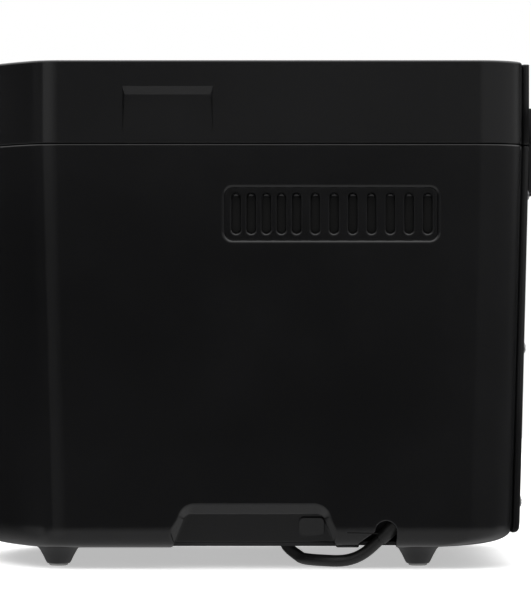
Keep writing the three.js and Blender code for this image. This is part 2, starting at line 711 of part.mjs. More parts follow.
function lidShell() {
  let lid = lidForm(0, LID_LOW, HEIGHT - 2).add(
    loft(
      [
        { z: HEIGHT - 2.5, points: formOutline(HEIGHT, 0) },
        { z: HEIGHT - 1.6, points: formOutline(HEIGHT, 0.2) },
        { z: HEIGHT - 0.5, points: formOutline(HEIGHT, 0.9) },
        { z: HEIGHT, points: formOutline(HEIGHT, 2) },
      ],
    ),
  );
  lid = lid.subtract(lidForm(WALL, LID_LOW - 1, HEIGHT - WALL));
  for (const side of [1, -1]) {
    lid = lid.add(
      scoopCut(side, 2).intersect(lidForm(1, LID_LOW + 3, HEIGHT - 2)),
    ).subtract(scoopCut(side, 0));
  }
  lid = lid.subtract(prism("z", windowRect(-6), HEIGHT - 10, HEIGHT + 5)).subtract(
    prism("z", windowRect(GAP), HEIGHT - 2, HEIGHT + 5),
  );
  for (const slot of steamSlots(HEIGHT - 10, HEIGHT + 5)) lid = lid.subtract(slot);
  return lid;
}

const lidWindow = () => prism("z", windowRect(0), HEIGHT - 1.7, HEIGHT + 0);
const linerWindow = () => prism("z", windowRect(-8), LINER_Z + 1.8, LINER_Z + 4);

function lidLiner() {
  const skirt = chamberRect(8);
  let liner = prism("z", skirt, LINER_Z - 32, LINER_Z + 1.5).subtract(
    prism("z", chamberRect(6.4), LINER_Z - 40, LINER_Z),
  );
  liner = liner.subtract(prism("z", windowRect(-14), LINER_Z - 5, LINER_Z + 5));
  return liner.subtract(prism("z", slotOutline(0, STEAM.y - 6, 4, 8), LINER_Z - 5, LINER_Z + 5));
}

// Webs that hold the liner under the lid's top, as a ring round its flat part.
const linerFrame = () =>
  prism(
    "z", chamberRect(5), LINER_Z + 1.8, HEIGHT - WALL - GAP,
  ).subtract(prism("z", chamberRect(2), LINER_Z, HEIGHT));

const lidGasket = () => prism("z", chamberRect(8.4), DECK_Z + 0.4, LINER_Z - 32.3).subtract(
  prism("z", chamberRect(5.4), DECK_Z - 5, LINER_Z - 20),
);

// ---------------------------------------------------------------- hinges
// The knuckle on the lid: a block on the lid's rear panel with a barrel round the pin.
function hingeKnuckle(x) {
  const face = REAR_FACE + GAP;
  const { y, z, barrel, slotHalf } = HINGE;
  const profile = [
    new THREE.Vector2(face, z + 3),
    new THREE.Vector2(y - 1, z - 1),
    ...arc(y, z, barrel, -60, 60, 6),
    new THREE.Vector2(y + barrel - 0.5, z + 14),
    new THREE.Vector2(face + 3, z + 23),
    new THREE.Vector2(face, z + 23),
  ];
  const block = prism("x", profile, x - slotHalf + 0.5, x + slotHalf - 0.5);
  const barrelRod = prism("x", circle(y, z, barrel - 0.3, 24), x - slotHalf + 0.5, x + slotHalf - 0.5);
  return block.add(barrelRod).subtract(prism("x", circle(y, z, HINGE.pin + 0.3, 24), x - 40, x + 40));
}

// The bracket on the housing: a block with two ears that carry the pin.
function hingeBracket(x) {
  const face = REAR_FACE + GAP;
  const { y, z, half, slotHalf, barrel } = HINGE;
  const profile = [
    new THREE.Vector2(face, z - 28),
    new THREE.Vector2(y + 4, z - 26),
    new THREE.Vector2(y + barrel, z - 14),
    ...arc(y, z, barrel, 0, 150, 8),
    new THREE.Vector2(face, z + 0.5),
  ];
  const block = prism("x", profile, x - half, x + half);
  const slot = prism(
    "x",
    [
      new THREE.Vector2(face - 1, z - 10), new THREE.Vector2(y + 20, z - 10),
      new THREE.Vector2(y + 20, z + 20), new THREE.Vector2(face - 1, z + 20),
    ],
    x - slotHalf,
    x + slotHalf,
  );
  return block.subtract(slot).subtract(prism("x", circle(y, z, HINGE.pin + GAP, 24), x - 40, x + 40));
}

const hingePin = (x) => prism(
  "x", circle(HINGE.y, HINGE.z, HINGE.pin, 24), x - HINGE.half - 1, x + HINGE.half + 1,
);

// ---------------------------------------------------------------- mains lead
// The route: out of the arch, down and forward, then flat under the housing to the far side.
const LEAD = [
  [107.5, 67.5, 16.8], [106.9, 63.2, 12.7], [106.1, 58.7, 8.9], [104.9, 53.5, 6],
  [103.3, 48, 4.3], [101.4, 42.4, 3.7], [98.6, 36.9, 3.7], [93.9, 30.9, 3.7],
  [87.5, 25.9, 3.7], [80.2, 22.8, 3.7], [72.3, 21.3, 3.7], [56.4, 19.9, 3.7],
  [21.5, 16.9, 3.7], [-20, 14, 3.7], [-65, 12.5, 3.7], [-105, 12, 3.7],
  [-125, 12, 3.7], [-145.5, 12, 3.7],
];
const COIL = { x: -170.5, y: 51.2, z0: 1.3, z1: 15.6, inner: 27.3, outer: 43, turn: 39.2 };
const TIE = { t: 0.8, width: 9, angle: -150 };
const PLUG = { z: 13, r: 12.4, neck: 5.2, start: 27, length: 46, pin: 2.2, pinLength: 19, pinHalf: 9.5 };

function leadTube() {
  const curve = new THREE.CatmullRomCurve3(LEAD.map((p) => new THREE.Vector3(...p)));
  return bar(curve, CORD_R, 40, 8);
}

const leadCoil = () =>
  lathe(
    [
      [COIL.inner, COIL.z0], [COIL.outer, COIL.z0], [COIL.outer, COIL.z1], [COIL.inner, COIL.z1],
      [COIL.inner, COIL.z0],
    ],
    COIL.x,
    COIL.y,
    40,
  );

// A strap round the coil's bundle.
function coilTie() {
  const mid = (COIL.inner + COIL.outer) / 2;
  const half = (COIL.outer - COIL.inner) / 2 + 0.6;
  const loop = (grow, ends) => box(
    mid - half - grow, mid + half + grow, -TIE.width / 2 - ends, TIE.width / 2 + ends,
    COIL.z0 - GAP - grow, COIL.z1 + GAP + grow,
  );
  return loop(TIE.t, 0).subtract(loop(0, 1)).rotate([0, 0, TIE.angle]).translate([COIL.x, COIL.y, 0]);
}

// A moulded plug with two round pins, lying beside the coil where the last turn leaves it.
function mainsPlug() {
  const { z, r, neck, start, length, pin, pinLength, pinHalf } = PLUG;
  const profile = [
    [0, 0], [neck - 0.6, 0], [neck, 13], [r - 1.4, 21], [r, 24], [r, length - 1], [r - 1, length],
    [0, length],
  ];
  const body = new THREE.LatheGeometry(profile.map(([a, b]) => new THREE.Vector2(a, b)), 24);
  let plug = toSolid(body.rotateY(Math.PI / 24));
  for (const side of [1, -1]) {
    const rod = lathe(
      [[0, 0], [pin, 0], [pin, pinLength], [pin - 0.8, pinLength + 1], [0, pinLength + 1]],
      0,
      0,
      14,
    );
    plug = plug.add(rod.rotate([-90, 0, 0]).translate([side * pinHalf, length - 0.5, 0]));
  }
  return plug.translate([COIL.x - COIL.turn, COIL.y + start, z]);
}

// A tapered strain relief that leans the way the lead leaves.
function strainRelief() {
  const end = new THREE.Vector3(...LEAD[0]);
  const back = end.clone().sub(new THREE.Vector3(...LEAD[1])).normalize();
  const profile = [[0, GAP], [CORD_R + 0.7, GAP], [CORD_R + 1.9, RELIEF_LENGTH], [0, RELIEF_LENGTH]];
  const geometry = new THREE.LatheGeometry(profile.map(([r, z]) => new THREE.Vector2(r, z)), 20);
  geometry.applyQuaternion(new THREE.Quaternion().setFromUnitVectors(Y, back));
  return toSolid(geometry.translate(end.x, end.y, end.z));
}

// ---------------------------------------------------------------- the assembly
const machine = new THREE.Group();
machine.position.y = CENTRING_Y;

function add(name, solid, material) {
  const mesh = new THREE.Mesh(toGeometry(solid), MATERIALS[material]);
  mesh.name = name;
  machine.add(mesh);
}

add("outer_housing", outerHousing(), "gloss");
add("vent_grille_right", ventGrille(1), "gloss");
add("vent_grille_left", ventGrille(-1), "gloss");
add("base_plate", basePlate(), "satin");
add(
  "rear_panel",
  rearPanel(
    housingForm(-GAP - REAR_PANEL_T, 0, SEAM_Z - SEAM_GAP / 2),
    housingForm(-GAP, -0.5, SEAM_Z + 5),
    20,
    SEAM_Z + 5,
  ),
  "gloss",
);
add("top_deck", topDeck(), "satin");
for (const [side, sx] of [["right", 1], ["left", -1]]) {
  for (const [end, y] of [["front", FEET.frontY], ["rear", FEET.rearY]]) {
    add(`foot_${end}_${side}`, foot(sx * FEET.x, y), "satin");
    add(`foot_pad_${end}_${side}`, footPad(sx * FEET.x, y), "rubber");
  }
}
add("oven_chamber", ovenChamber(), "galvanised");
add("heating_element", heatingElement(), "steel");
add("temperature_sensor", temperatureSensor(), "steel");
add("bread_pan", breadPan(), "nonstick");
add("pan_handle", panHandle(), "steel");
add("pan_bush", panBush(), "steel");
add("kneading_paddle", kneadingPaddle(), "nonstick");
add("pan_shaft", panShaft(), "steel");
add("drive_coupling", driveCoupling(), "dark");
add("drive_shaft", driveShaft(), "steel");
add(
  "large_pulley",
  toothed(0, CHAMBER_Y, LARGE_TEETH, SHAFT_R + GAP, PULLEY_Z, PULLEY_Z + PULLEY_H),
  "dark",
);
add("bearing_housing", bearingHousing(), "steel");
add("drive_belt", driveBelt(), "blackRubber");
add("chassis_plate", chassisPlate(), "galvanised");
add("motor_body", motorBody(), "galvanised");
add("motor_end_plate", motorEndPlate(), "steel");
add("motor_rotor", motorRotor(), "copper");
add("motor_pulley", motorPulley(), "dark");
add("motor_capacitor", motorCapacitor(), "dark");
add("power_board", powerBoard(), "board");
add("control_board", controlBoard(), "board");
add("control_fascia", controlFascia(), "gloss");
add("display_window", displayWindow(), "display");
for (const [name, [angle, r]] of Object.entries(BUTTONS)) add(
  `button_${name}`, pushButton(angle, r), "button",
);
add("lid_shell", lidShell(), "gloss");
add(
  "lid_rear_panel",
  rearPanel(
    lidForm(-GAP - REAR_PANEL_T, LID_LOW, HEIGHT - 0.6),
    lidForm(-GAP, LID_LOW - 5, HEIGHT + 5),
    LID_LOW,
    HEIGHT,
  ),
  "gloss",
);
add("lid_window", lidWindow(), "glass");
add("lid_liner", lidLiner(), "galvanised");
add("liner_frame", linerFrame(), "dark");
add("liner_window", linerWindow(), "glass");
add("lid_gasket", lidGasket(), "silicone");
for (const [side, x] of [["right", HINGE.x], ["left", -HINGE.x]]) {
  add(`hinge_bracket_${side}`, hingeBracket(x), "satin");
  add(`hinge_knuckle_${side}`, hingeKnuckle(x), "satin");
  add(`hinge_pin_${side}`, hingePin(x), "steel");
}
add("strain_relief", strainRelief(), "blackRubber");
add("mains_lead", leadTube(), "blackRubber");
add("lead_coil", leadCoil(), "blackRubber");
add("coil_tie", coilTie(), "dark");
add("mains_plug", mainsPlug(), "blackRubber");

export default machine;
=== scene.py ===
import json
import math

import bmesh
import bpy
from mathutils import Matrix, Vector


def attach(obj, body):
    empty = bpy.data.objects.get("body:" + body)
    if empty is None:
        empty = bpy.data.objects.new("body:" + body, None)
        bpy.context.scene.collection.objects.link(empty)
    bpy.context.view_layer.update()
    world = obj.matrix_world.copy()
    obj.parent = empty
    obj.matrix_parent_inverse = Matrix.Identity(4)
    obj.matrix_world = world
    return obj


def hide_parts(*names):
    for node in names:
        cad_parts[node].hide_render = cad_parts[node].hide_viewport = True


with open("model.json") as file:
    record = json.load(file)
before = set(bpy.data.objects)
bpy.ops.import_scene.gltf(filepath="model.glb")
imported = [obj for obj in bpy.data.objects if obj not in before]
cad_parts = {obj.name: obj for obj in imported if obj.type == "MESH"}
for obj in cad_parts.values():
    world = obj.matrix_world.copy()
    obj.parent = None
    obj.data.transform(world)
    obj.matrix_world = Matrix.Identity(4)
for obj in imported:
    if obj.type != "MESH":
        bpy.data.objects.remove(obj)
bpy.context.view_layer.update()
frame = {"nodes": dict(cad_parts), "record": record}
NODES = frame["nodes"]

# ---------------------------------------------------------------- dimensions, in millimetres
MM = 0.001
HEIGHT = 300
SEAM_Z = 251
SEAM_GAP = 0.3
BOTTOM_Z = 12
HALF_WIDTH = 125
REAR_Y = 152.5
BOW_CENTRE_Y = -8
BOW_RADIUS = 176
REAR_CORNER = 27
FRONT_CORNER = 24
WALL = 3
GAP = 0.3
REAR_PANEL = 4.4
TAPER_SIDE = 5.5
TAPER_REAR = 6
TAPER_BOW = 8
ROUND_H = 14
ROUND_SIDE = 13
ROUND_REAR = 42
ROUND_BOW = 7
CENTRING_Y = 6.22
CHAMBER_Y = 25
CHAMBER = dict(half_x=80, half_y=100)
PAN = dict(half_x=66, half_y=86, floor=88, rim_z=222, taper=5, wall=1.6, corner=16, rim=4)
HANDLE = dict(z=226, arm=54, wire=2.4, y=91.4, tab=7, corner=12, end_corner=2.6)
HEATER = dict(z=97, r=3.2, clear=7, corner=18, end_x=24, end_y=112, end_corner=8)
SCOOP = dict(y=-57.8, half=26.8, top=284.7, bottom=255, depth=3.6, drop=4.8, end=1.5)
GRIP = dict(y=-6.8, half_bottom=55, half_top=45.3, top=38, depth=21, chamfer=6, face=119.7, corner=10,
            wall=2.2, lean=0.2, lean_z=22)
GRIP_PAD = dict(y=27.3, z=24, half_w=7.7, half_h=5.6, corner=3, near=97.5, far=100, lean=0.32)
VENT = dict(y=38.5, z=209.5, width=128, height=33.5, corner=6, recess=1.6, rim=1.7, plate=2, under_rim=0.6)
# the near-black sheet behind each vent: painted shade for the dark inside seen through the slots
SHADE_SHEET = dict(front=4.4, back=5.2, grow=3)
SLOTS = dict(narrow=5, wide=7, narrow_pitch=8.9, wide_pitch=11.05, first=-17.5, half_w=2.5, half_h=12.3,
             slope_top=2.9, slope_bottom=1.2)
FASCIA = dict(half_x=62, z0=160, z1=240, corner=8)
DISPLAY = dict(half_x=27, z0=202, z1=230, corner=3)
ARCH = dict(y=71, half=6.3, top=28.5, flare=9.5)
BUTTONS = dict(menu=(-17, 6), loaf_size=(-9, 6), start_stop=(0, 8.5), time_minus=(9, 6), time_plus=(17, 6))
BUTTON_Z = 180
FEET = dict(x=86, front=-124, rear=91, top_r=12.6, bottom_r=7, pad_r=5.6, pad_z=2.2)
WINDOW = dict(half_x=62, half_y=58, corner=14, ledge=6, depth=2)
STEAM = dict(y=118, count=6, pitch=11, half=2, length=9)
CORD_R = 3.5
LEAD = [
    (107.5, 67.5, 16.8), (106.9, 63.2, 12.7), (106.1, 58.7, 8.9), (104.9, 53.5, 6), (103.3, 48, 4.3),
    (101.4, 42.4, 3.7), (98.6, 36.9, 3.7), (93.9, 30.9, 3.7), (87.5, 25.9, 3.7), (80.2, 22.8, 3.7),
    (72.3, 21.3, 3.7), (56.4, 19.9, 3.7), (21.5, 16.9, 3.7), (-20, 14, 3.7), (-65, 12.5, 3.7),
    (-105, 12, 3.7), (-125, 12, 3.7), (-145.5, 12, 4.2), (-158, 12, 4.7),
]
LEAD_TAIL = [(9, 12.2), (18, 12.6), (27, 13), (33, 13)]  # (y past the coil's middle, z), towards the plug
COIL = dict(x=-170.5, y=51.2, outer=39.2, inner=31.1, low=4.9, high=12.1)
COIL_SWEEP = dict(end=1170, step=15, inward=(290, 370), up=(570, 650), outward=(850, 930))  # in degrees
PLUG = dict(x=COIL["x"] - COIL["outer"], z=13, r=12.4, neck=5.2, start=27, length=46, pin=2.2, pin_tip=64.9,
            pin_half=9.5)
SIDE_SPAN = (90, 140)  # the reach of side cutters along x, through the wall and beyond the face
ARCH_SPAN = (100, 140)
FRONT_SPAN = (-220, -120)  # the same along y, at the front
LID_SPAN = (HEIGHT - 10, HEIGHT + 5)  # and upward, through the lid
TO_ORIGIN = Matrix.Translation((0, -CENTRING_Y * MM, 0))

# ---------------------------------------------------------------- camera, light and floor
CAMERA_X = 2325
CAMERA_Y = 6.05
CAMERA_Z = 158.8
LENS = 224.4
FLOOR_RADIUS = 2.0


def make_camera():
    data = bpy.data.cameras.new("camera")
    data.lens = LENS
    data.sensor_width = 36
    data.clip_end = 50
    cam = bpy.data.objects.new("camera", data)
    cam.location = Vector((CAMERA_X, CAMERA_Y, CAMERA_Z)) * MM
    cam.rotation_euler = (math.pi / 2, 0, math.pi / 2)
    bpy.context.scene.collection.objects.link(cam)
    bpy.context.scene.camera = cam


def wire(tree, kind, **inputs):
    """A shader node with its inputs set or linked by name."""
    node = tree.nodes.new(kind)
    for key, value in inputs.items():
        if hasattr(node, key):
            setattr(node, key, value)
            continue
        socket = node.inputs[int(key[1:])] if key[0] == "i" and key[1:].isdigit() else node.inputs[key]
        if isinstance(value, bpy.types.NodeSocket):
            tree.links.new(value, socket)
        else:
            socket.default_value = value
    return node


def maths(tree, operation, a, b=0.0, clamp=False):
    return wire(tree, "ShaderNodeMath", operation=operation, use_clamp=clamp, i0=a, i1=b).outputs[0]


def ramp(tree, value, low, high, out_low=0.0, out_high=1.0):
    """Eases from out_low to out_high while the value goes from low to high."""
    node = tree.nodes.new("ShaderNodeMapRange")
    node.interpolation_type = "SMOOTHSTEP"
    for socket, v in zip(node.inputs[:5], (value, low, high, out_low, out_high)):
        if isinstance(v, bpy.types.NodeSocket):
            tree.links.new(v, socket)
        else:
            socket.default_value = v
    return node.outputs[0]


def make_world():
    """A white studio: bright above, a soft wall behind the hinge side and a tall strip by the front corner.

    The lower half is filled in away from the right side, so the other sides read as well.
    """
    world = bpy.data.worlds.new("studio")
    bpy.context.scene.world = world
    world.use_nodes = True
    tree = world.node_tree
    tree.nodes.clear()
    place = wire(tree, "ShaderNodeTexCoord").outputs["Generated"]
    axes = wire(tree, "ShaderNodeSeparateXYZ", i0=place).outputs
    side, depth, height = axes
    facing = maths(tree, "MAXIMUM", side, 0.0)
    lift = maths(tree, "SUBTRACT", height, maths(tree, "MULTIPLY", facing, 0.45))
    above = ramp(tree, lift, 0.08, 0.85, 0, 2.1)
    below = ramp(tree, height, -0.13, -0.7, 0, 0.52)
    level = ramp(tree, height, -0.03, 0.04, 0.25, 1.0)
    base = ramp(tree, side, -0.2, 0.35, 0.065, 0.19)
    rear = maths(tree, "ADD", ramp(tree, depth, -0.1, 0.3, 0, 0.33),
                 maths(tree, "MULTIPLY", ramp(tree, depth, 0.5, 0.8), ramp(tree, side, 0.4, -0.1, 0, 0.06)))
    rear = maths(tree, "MULTIPLY", rear, ramp(tree, side, -0.8, -0.4))
    ends = maths(tree, "ADD", ramp(tree, depth, -0.85, -0.98), ramp(tree, depth, 0.75, 0.95, 0.18, 1))
    fill = maths(tree, "MULTIPLY", ramp(tree, height, -0.06, -0.3, 0, 0.3), ramp(tree, side, 0.35, -0.1))
    fill = maths(tree, "MULTIPLY", fill, ends)
    strip = maths(tree, "MULTIPLY", ramp(tree, depth, -0.03, -0.6, 0, 0.52), ramp(tree, depth, -0.8, -0.75))
    strip = maths(tree, "MULTIPLY", strip, ramp(tree, side, 0.3, 0.5))
    around = maths(tree, "MULTIPLY", maths(tree, "ADD", base, maths(tree, "ADD", rear, strip)), level)
    total = maths(tree, "ADD", maths(tree, "ADD", above, below), maths(tree, "ADD", around, fill))
    soft = wire(tree, "ShaderNodeBackground", Strength=total)
    white = wire(tree, "ShaderNodeBackground", Color=(1, 1, 1, 1), Strength=1.0)
    seen = wire(tree, "ShaderNodeLightPath").outputs["Is Camera Ray"]
    mix = wire(tree, "ShaderNodeMixShader", i0=seen, i1=soft.outputs[0], i2=white.outputs[0])
    wire(tree, "ShaderNodeOutputWorld", Surface=mix.outputs[0])
    bpy.context.scene.view_settings.view_transform = "Standard"


def make_floor():
    """A white table, faintly lit from inside. It isn't mirrored in the gloss, so the sides stay dark."""
    mat = bpy.data.materials.new("floor_paper")
    mat.use_nodes = True
    tree = mat.node_tree
    bsdf = tree.nodes["Principled BSDF"]
    grain = wire(tree, "ShaderNodeTexNoise", Scale=60.0, Detail=4.0).outputs[0]
    tone = wire(tree, "ShaderNodeMixRGB", i0=grain, i1=(0.90, 0.90, 0.90, 1), i2=(0.93, 0.93, 0.93, 1))
    tree.links.new(tone.outputs[0], bsdf.inputs["Base Color"])
    tree.links.new(tone.outputs[0], bsdf.inputs["Emission Color"])
    bsdf.inputs["Emission Strength"].default_value = 0.5
    bsdf.inputs["Roughness"].default_value = 0.9
    bsdf.inputs["Specular IOR Level"].default_value = 0.1
    form = bmesh.new()
    bmesh.ops.create_circle(form, cap_ends=True, segments=96, radius=FLOOR_RADIUS)
    mesh = bpy.data.meshes.new("floor")
    form.to_mesh(mesh)
    form.free()
    floor = bpy.data.objects.new("floor", mesh)
    floor.location.z = -0.0002
    floor.visible_glossy = False
    bpy.context.scene.collection.objects.link(floor)
    mesh.materials.append(mat)


make_camera()
make_world()
make_floor()

# ---------------------------------------------------------------- materials
FINISH = {}


def surface(name, dark, light, rough, *, metallic=0.0, patch=14.0, spread=0.08, grain=900.0, grain_depth=0.02,
            scuff=0.0, coat=0.0, brushed=None, specular=0.5):
    """Makes a finish that varies between a dark and a light tone, and returns its main shader node.

    patch and grain are in cycles per metre, and grain_depth and scuff in millimetres of bump. spread is how
    much the roughness varies.
    """
    mat = bpy.data.materials.new(name)
    mat.use_nodes = True
    tree = mat.node_tree
    bsdf = tree.nodes["Principled BSDF"]
    place = wire(tree, "ShaderNodeTexCoord").outputs["Object"]
    if brushed:
        place = wire(tree, "ShaderNodeMapping", Vector=place, Scale=brushed).outputs[0]
    broad = wire(tree, "ShaderNodeTexNoise", Vector=place, Scale=patch, Detail=5.0, Roughness=0.6).outputs[0]
    fine = wire(tree, "ShaderNodeTexNoise", Vector=place, Scale=grain, Detail=3.0, Roughness=0.5).outputs[0]
    blend = maths(tree, "ADD", maths(tree, "MULTIPLY", broad, 0.65), maths(tree, "MULTIPLY", fine, 0.35))
    tone = wire(tree, "ShaderNodeMixRGB", i0=ramp(tree, blend, 0.35, 0.65), i1=(*dark, 1), i2=(*light, 1))
    tree.links.new(tone.outputs[0], bsdf.inputs["Base Color"])
    smear = ramp(tree, broad, 0.3, 0.75, rough - spread, rough + spread)
    speck = ramp(tree, fine, 0.35, 0.7, -spread * 0.3, spread * 0.3)
    tree.links.new(maths(tree, "ADD", smear, speck, clamp=True), bsdf.inputs["Roughness"])
    bump = wire(tree, "ShaderNodeBump", Height=fine, Strength=1.0, Distance=grain_depth * MM)
    if scuff:
        turned = wire(tree, "ShaderNodeMapping", Vector=place, Rotation=(0.6, 0.2, 0.9), Scale=(1, 9, 1))
        lines = wire(tree, "ShaderNodeTexNoise", Vector=turned.outputs[0], Scale=grain * 0.12, Detail=1.0,
                     Distortion=6.0)
        scratches = ramp(tree, lines.outputs[0], 0.6, 0.72)
        bump = wire(tree, "ShaderNodeBump", Height=scratches, Strength=1.0, Distance=scuff * MM,
                    Normal=bump.outputs[0])
    tree.links.new(bump.outputs[0], bsdf.inputs["Normal"])
    bsdf.inputs["Metallic"].default_value = metallic
    bsdf.inputs["Specular IOR Level"].default_value = specular
    if coat:
        bsdf.inputs["Coat Weight"].default_value = coat
        bsdf.inputs["Coat Roughness"].default_value = 0.06
    FINISH[name] = mat
    return bsdf


surface("gloss_black", (0.0034, 0.0034, 0.0037), (0.0052, 0.0052, 0.0056), 0.145, spread=0.014, patch=9,
        grain=420, grain_depth=0.0022, scuff=0.0012)
# deep_black: the dark joint line's own colour, and the painted shade of the sheet behind the vent slots
surface("deep_black", (0.003, 0.003, 0.003), (0.006, 0.006, 0.006), 0.6, grain=1500, grain_depth=0.02,
        specular=0.25)
surface("satin_black", (0.012, 0.012, 0.013), (0.019, 0.019, 0.02), 0.42, grain=1600, grain_depth=0.012)
surface("dark_plastic", (0.02, 0.02, 0.021), (0.034, 0.034, 0.036), 0.5, grain=1500, grain_depth=0.02)
surface("pale_rubber", (0.34, 0.34, 0.335), (0.47, 0.47, 0.465), 0.75, grain=2200, grain_depth=0.03)
surface("silicone", (0.09, 0.09, 0.09), (0.13, 0.13, 0.128), 0.65, grain=1800, grain_depth=0.02)
surface("black_rubber", (0.008, 0.008, 0.008), (0.017, 0.017, 0.017), 0.48, grain=1400, grain_depth=0.015)
surface("bright_steel", (0.5, 0.5, 0.51), (0.68, 0.68, 0.69), 0.28, metallic=1.0, grain=700,
        brushed=(1, 1, 12), grain_depth=0.004, scuff=0.003)
surface("sheet_steel", (0.34, 0.35, 0.36), (0.56, 0.57, 0.58), 0.42, metallic=1.0, patch=60, spread=0.1,
        grain=500, grain_depth=0.006, scuff=0.004)
surface("nonstick", (0.035, 0.035, 0.038), (0.075, 0.075, 0.08), 0.42, metallic=0.35, patch=40, grain=2500,
        grain_depth=0.015)
surface("copper_windings", (0.42, 0.17, 0.07), (0.66, 0.32, 0.14), 0.35, metallic=1.0, grain=900,
        brushed=(1, 1, 20), grain_depth=0.05)
surface("circuit_board", (0.01, 0.09, 0.035), (0.02, 0.15, 0.06), 0.4, grain=800, grain_depth=0.02)
surface("button_plastic", (0.022, 0.022, 0.024), (0.032, 0.032, 0.035), 0.3, grain=1200, grain_depth=0.006)
surface("display", (0.006, 0.009, 0.008), (0.012, 0.016, 0.014), 0.1, spread=0.03, coat=0.6)
surface("digit_white", (0.55, 0.6, 0.62), (0.66, 0.7, 0.72), 0.4, grain=1500, grain_depth=0.003)
surface("icon_grey", (0.42, 0.42, 0.43), (0.5, 0.5, 0.51), 0.45, grain=1500, grain_depth=0.005)
glass = surface("tinted_glass", (0.05, 0.06, 0.065), (0.07, 0.08, 0.085), 0.06, spread=0.03, patch=20)
glass.inputs["Transmission Weight"].default_value = 0.75
glass.inputs["IOR"].default_value = 1.5


# ---------------------------------------------------------------- outlines and solids, in millimetres
def rect(cx, cy, half_w, half_h):
    return [(cx - half_w, cy - half_h), (cx + half_w, cy - half_h), (cx + half_w, cy + half_h),
            (cx - half_w, cy + half_h)]


def arc(cx, cy, r, start, end, steps):
    angles = (math.radians(start + (end - start) * i / steps) for i in range(steps + 1))
    return [(cx + r * math.cos(a), cy + r * math.sin(a)) for a in angles]


def circle(cx, cy, r, steps=48):
    return arc(cx, cy, r, 0, 360, steps)[:-1]


def rounded_rect(cx, cy, half_w, half_h, r, steps=10):
    x, y = half_w - r, half_h - r
    return (arc(cx + x, cy + y, r, 0, 90, steps) + arc(cx - x, cy + y, r, 90, 180, steps)
            + arc(cx - x, cy - y, r, 180, 270, steps) + arc(cx + x, cy - y, r, 270, 360, steps))


def slot_outline(cx, cy, half_w, half_h, steps=10):
    return (arc(cx, cy + half_h - half_w, half_w, 0, 180, steps)
            + arc(cx, cy - half_h + half_w, half_w, 180, 360, steps))


def plan_outline(half_width, rear_y, bow, rear, front):
    """The outline from above: straight sides and back, round corners and a bowed front."""
    corner_x = half_width - front
    corner_y = BOW_CENTRE_Y - math.sqrt((bow - front) ** 2 - corner_x ** 2)
    turn = math.degrees(math.atan2(corner_x, BOW_CENTRE_Y - corner_y))
    return (arc(half_width - rear, rear_y - rear, rear, 0, 90, 22)
            + arc(-half_width + rear, rear_y - rear, rear, 90, 180, 22)
            + arc(-corner_x, corner_y, front, 180, 270 - turn, 14)
            + arc(0, BOW_CENTRE_Y, bow, 270 - turn, 270 + turn, 64)[1:-1]
            + arc(corner_x, corner_y, front, 270 + turn, 360, 14))


def form_outline(z, inset, edge=0.0):
    """The outline at a height. edge runs from 0 on the wall to 1 at the foot of the round at the bottom."""
    lean = max(0, SEAM_Z - z) / (SEAM_Z - BOTTOM_Z)
    return plan_outline(
        half_width=HALF_WIDTH - TAPER_SIDE * lean - ROUND_SIDE * edge - inset,
        rear_y=REAR_Y - TAPER_REAR * lean - ROUND_REAR * edge ** 1.5 - inset,
        bow=BOW_RADIUS - TAPER_BOW * lean - ROUND_BOW * edge - inset,
        rear=REAR_CORNER - inset,
        front=max(2, FRONT_CORNER - inset),
    )


def finish_mesh(name, form):
    bmesh.ops.recalc_face_normals(form, faces=form.faces[:])
    mesh = bpy.data.meshes.new(name)
    form.to_mesh(mesh)
    form.free()
    obj = bpy.data.objects.new(name, mesh)
    bpy.context.scene.collection.objects.link(obj)
    return obj


PLACE = {"x": lambda u, v, w: (w, u, v), "y": lambda u, v, w: (u, w, v), "z": lambda u, v, w: (u, v, w)}


def corner(form, axis, u, v, w):
    x, y, z = PLACE[axis](u, v, w)
    return form.verts.new((x * MM, (y + CENTRING_Y) * MM, z * MM))


def loft(name, rings, axis="z"):
    """A closed skin through rings of (place along the axis, outline) with the same count."""
    form = bmesh.new()
    rows = [[corner(form, axis, u, v, w) for u, v in points] for w, points in rings]
    for low, high in zip(rows, rows[1:]):
        for i in range(len(low)):
            j = (i + 1) % len(low)
            form.faces.new((low[i], low[j], high[j], high[i]))
    form.faces.new(rows[0][::-1])
    form.faces.new(rows[-1])
    return finish_mesh(name, form)


def prism(name, axis, outline, start, end):
    """An extruded outline: (y, z) along x, (x, z) along y and (x, y) along z."""
    return loft(name, [(start, outline), (end, outline)], axis)


def lathe(name, profile, cx, cy, steps=64):
    """A turned solid about a vertical line. The profile runs from the axis to the axis."""
    form = bmesh.new()
    rows = []
    for r, z in profile:
        ring = circle(cx, cy, r, steps) if r else [(cx, cy)]
        rows.append([corner(form, "z", x, y, z) for x, y in ring])
    for low, high in zip(rows, rows[1:]):
        for i in range(steps):
            j = (i + 1) % steps
            corners = [low[i % len(low)], low[j % len(low)], high[j % len(high)], high[i % len(high)]]
            form.faces.new(list(dict.fromkeys(corners)))
    return finish_mesh(name, form)


def bake(obj):
    """Applies the modifiers to the mesh."""
    graph = bpy.context.evaluated_depsgraph_get()
    mesh = bpy.data.meshes.new_from_object(obj.evaluated_get(graph))
    obj.modifiers.clear()
    old = obj.data
    obj.data = mesh
    mesh.name = obj.name
    bpy.data.meshes.remove(old)


def combine(obj, operation, *others):
    for other in others:
        mod = obj.modifiers.new("combine", "BOOLEAN")
        mod.operation = operation
        mod.solver = "EXACT"
        mod.object = other
    bake(obj)
    for other in others:
        bpy.data.objects.remove(other)
    return obj


def cut(obj, *others):
    return combine(obj, "DIFFERENCE", *others)


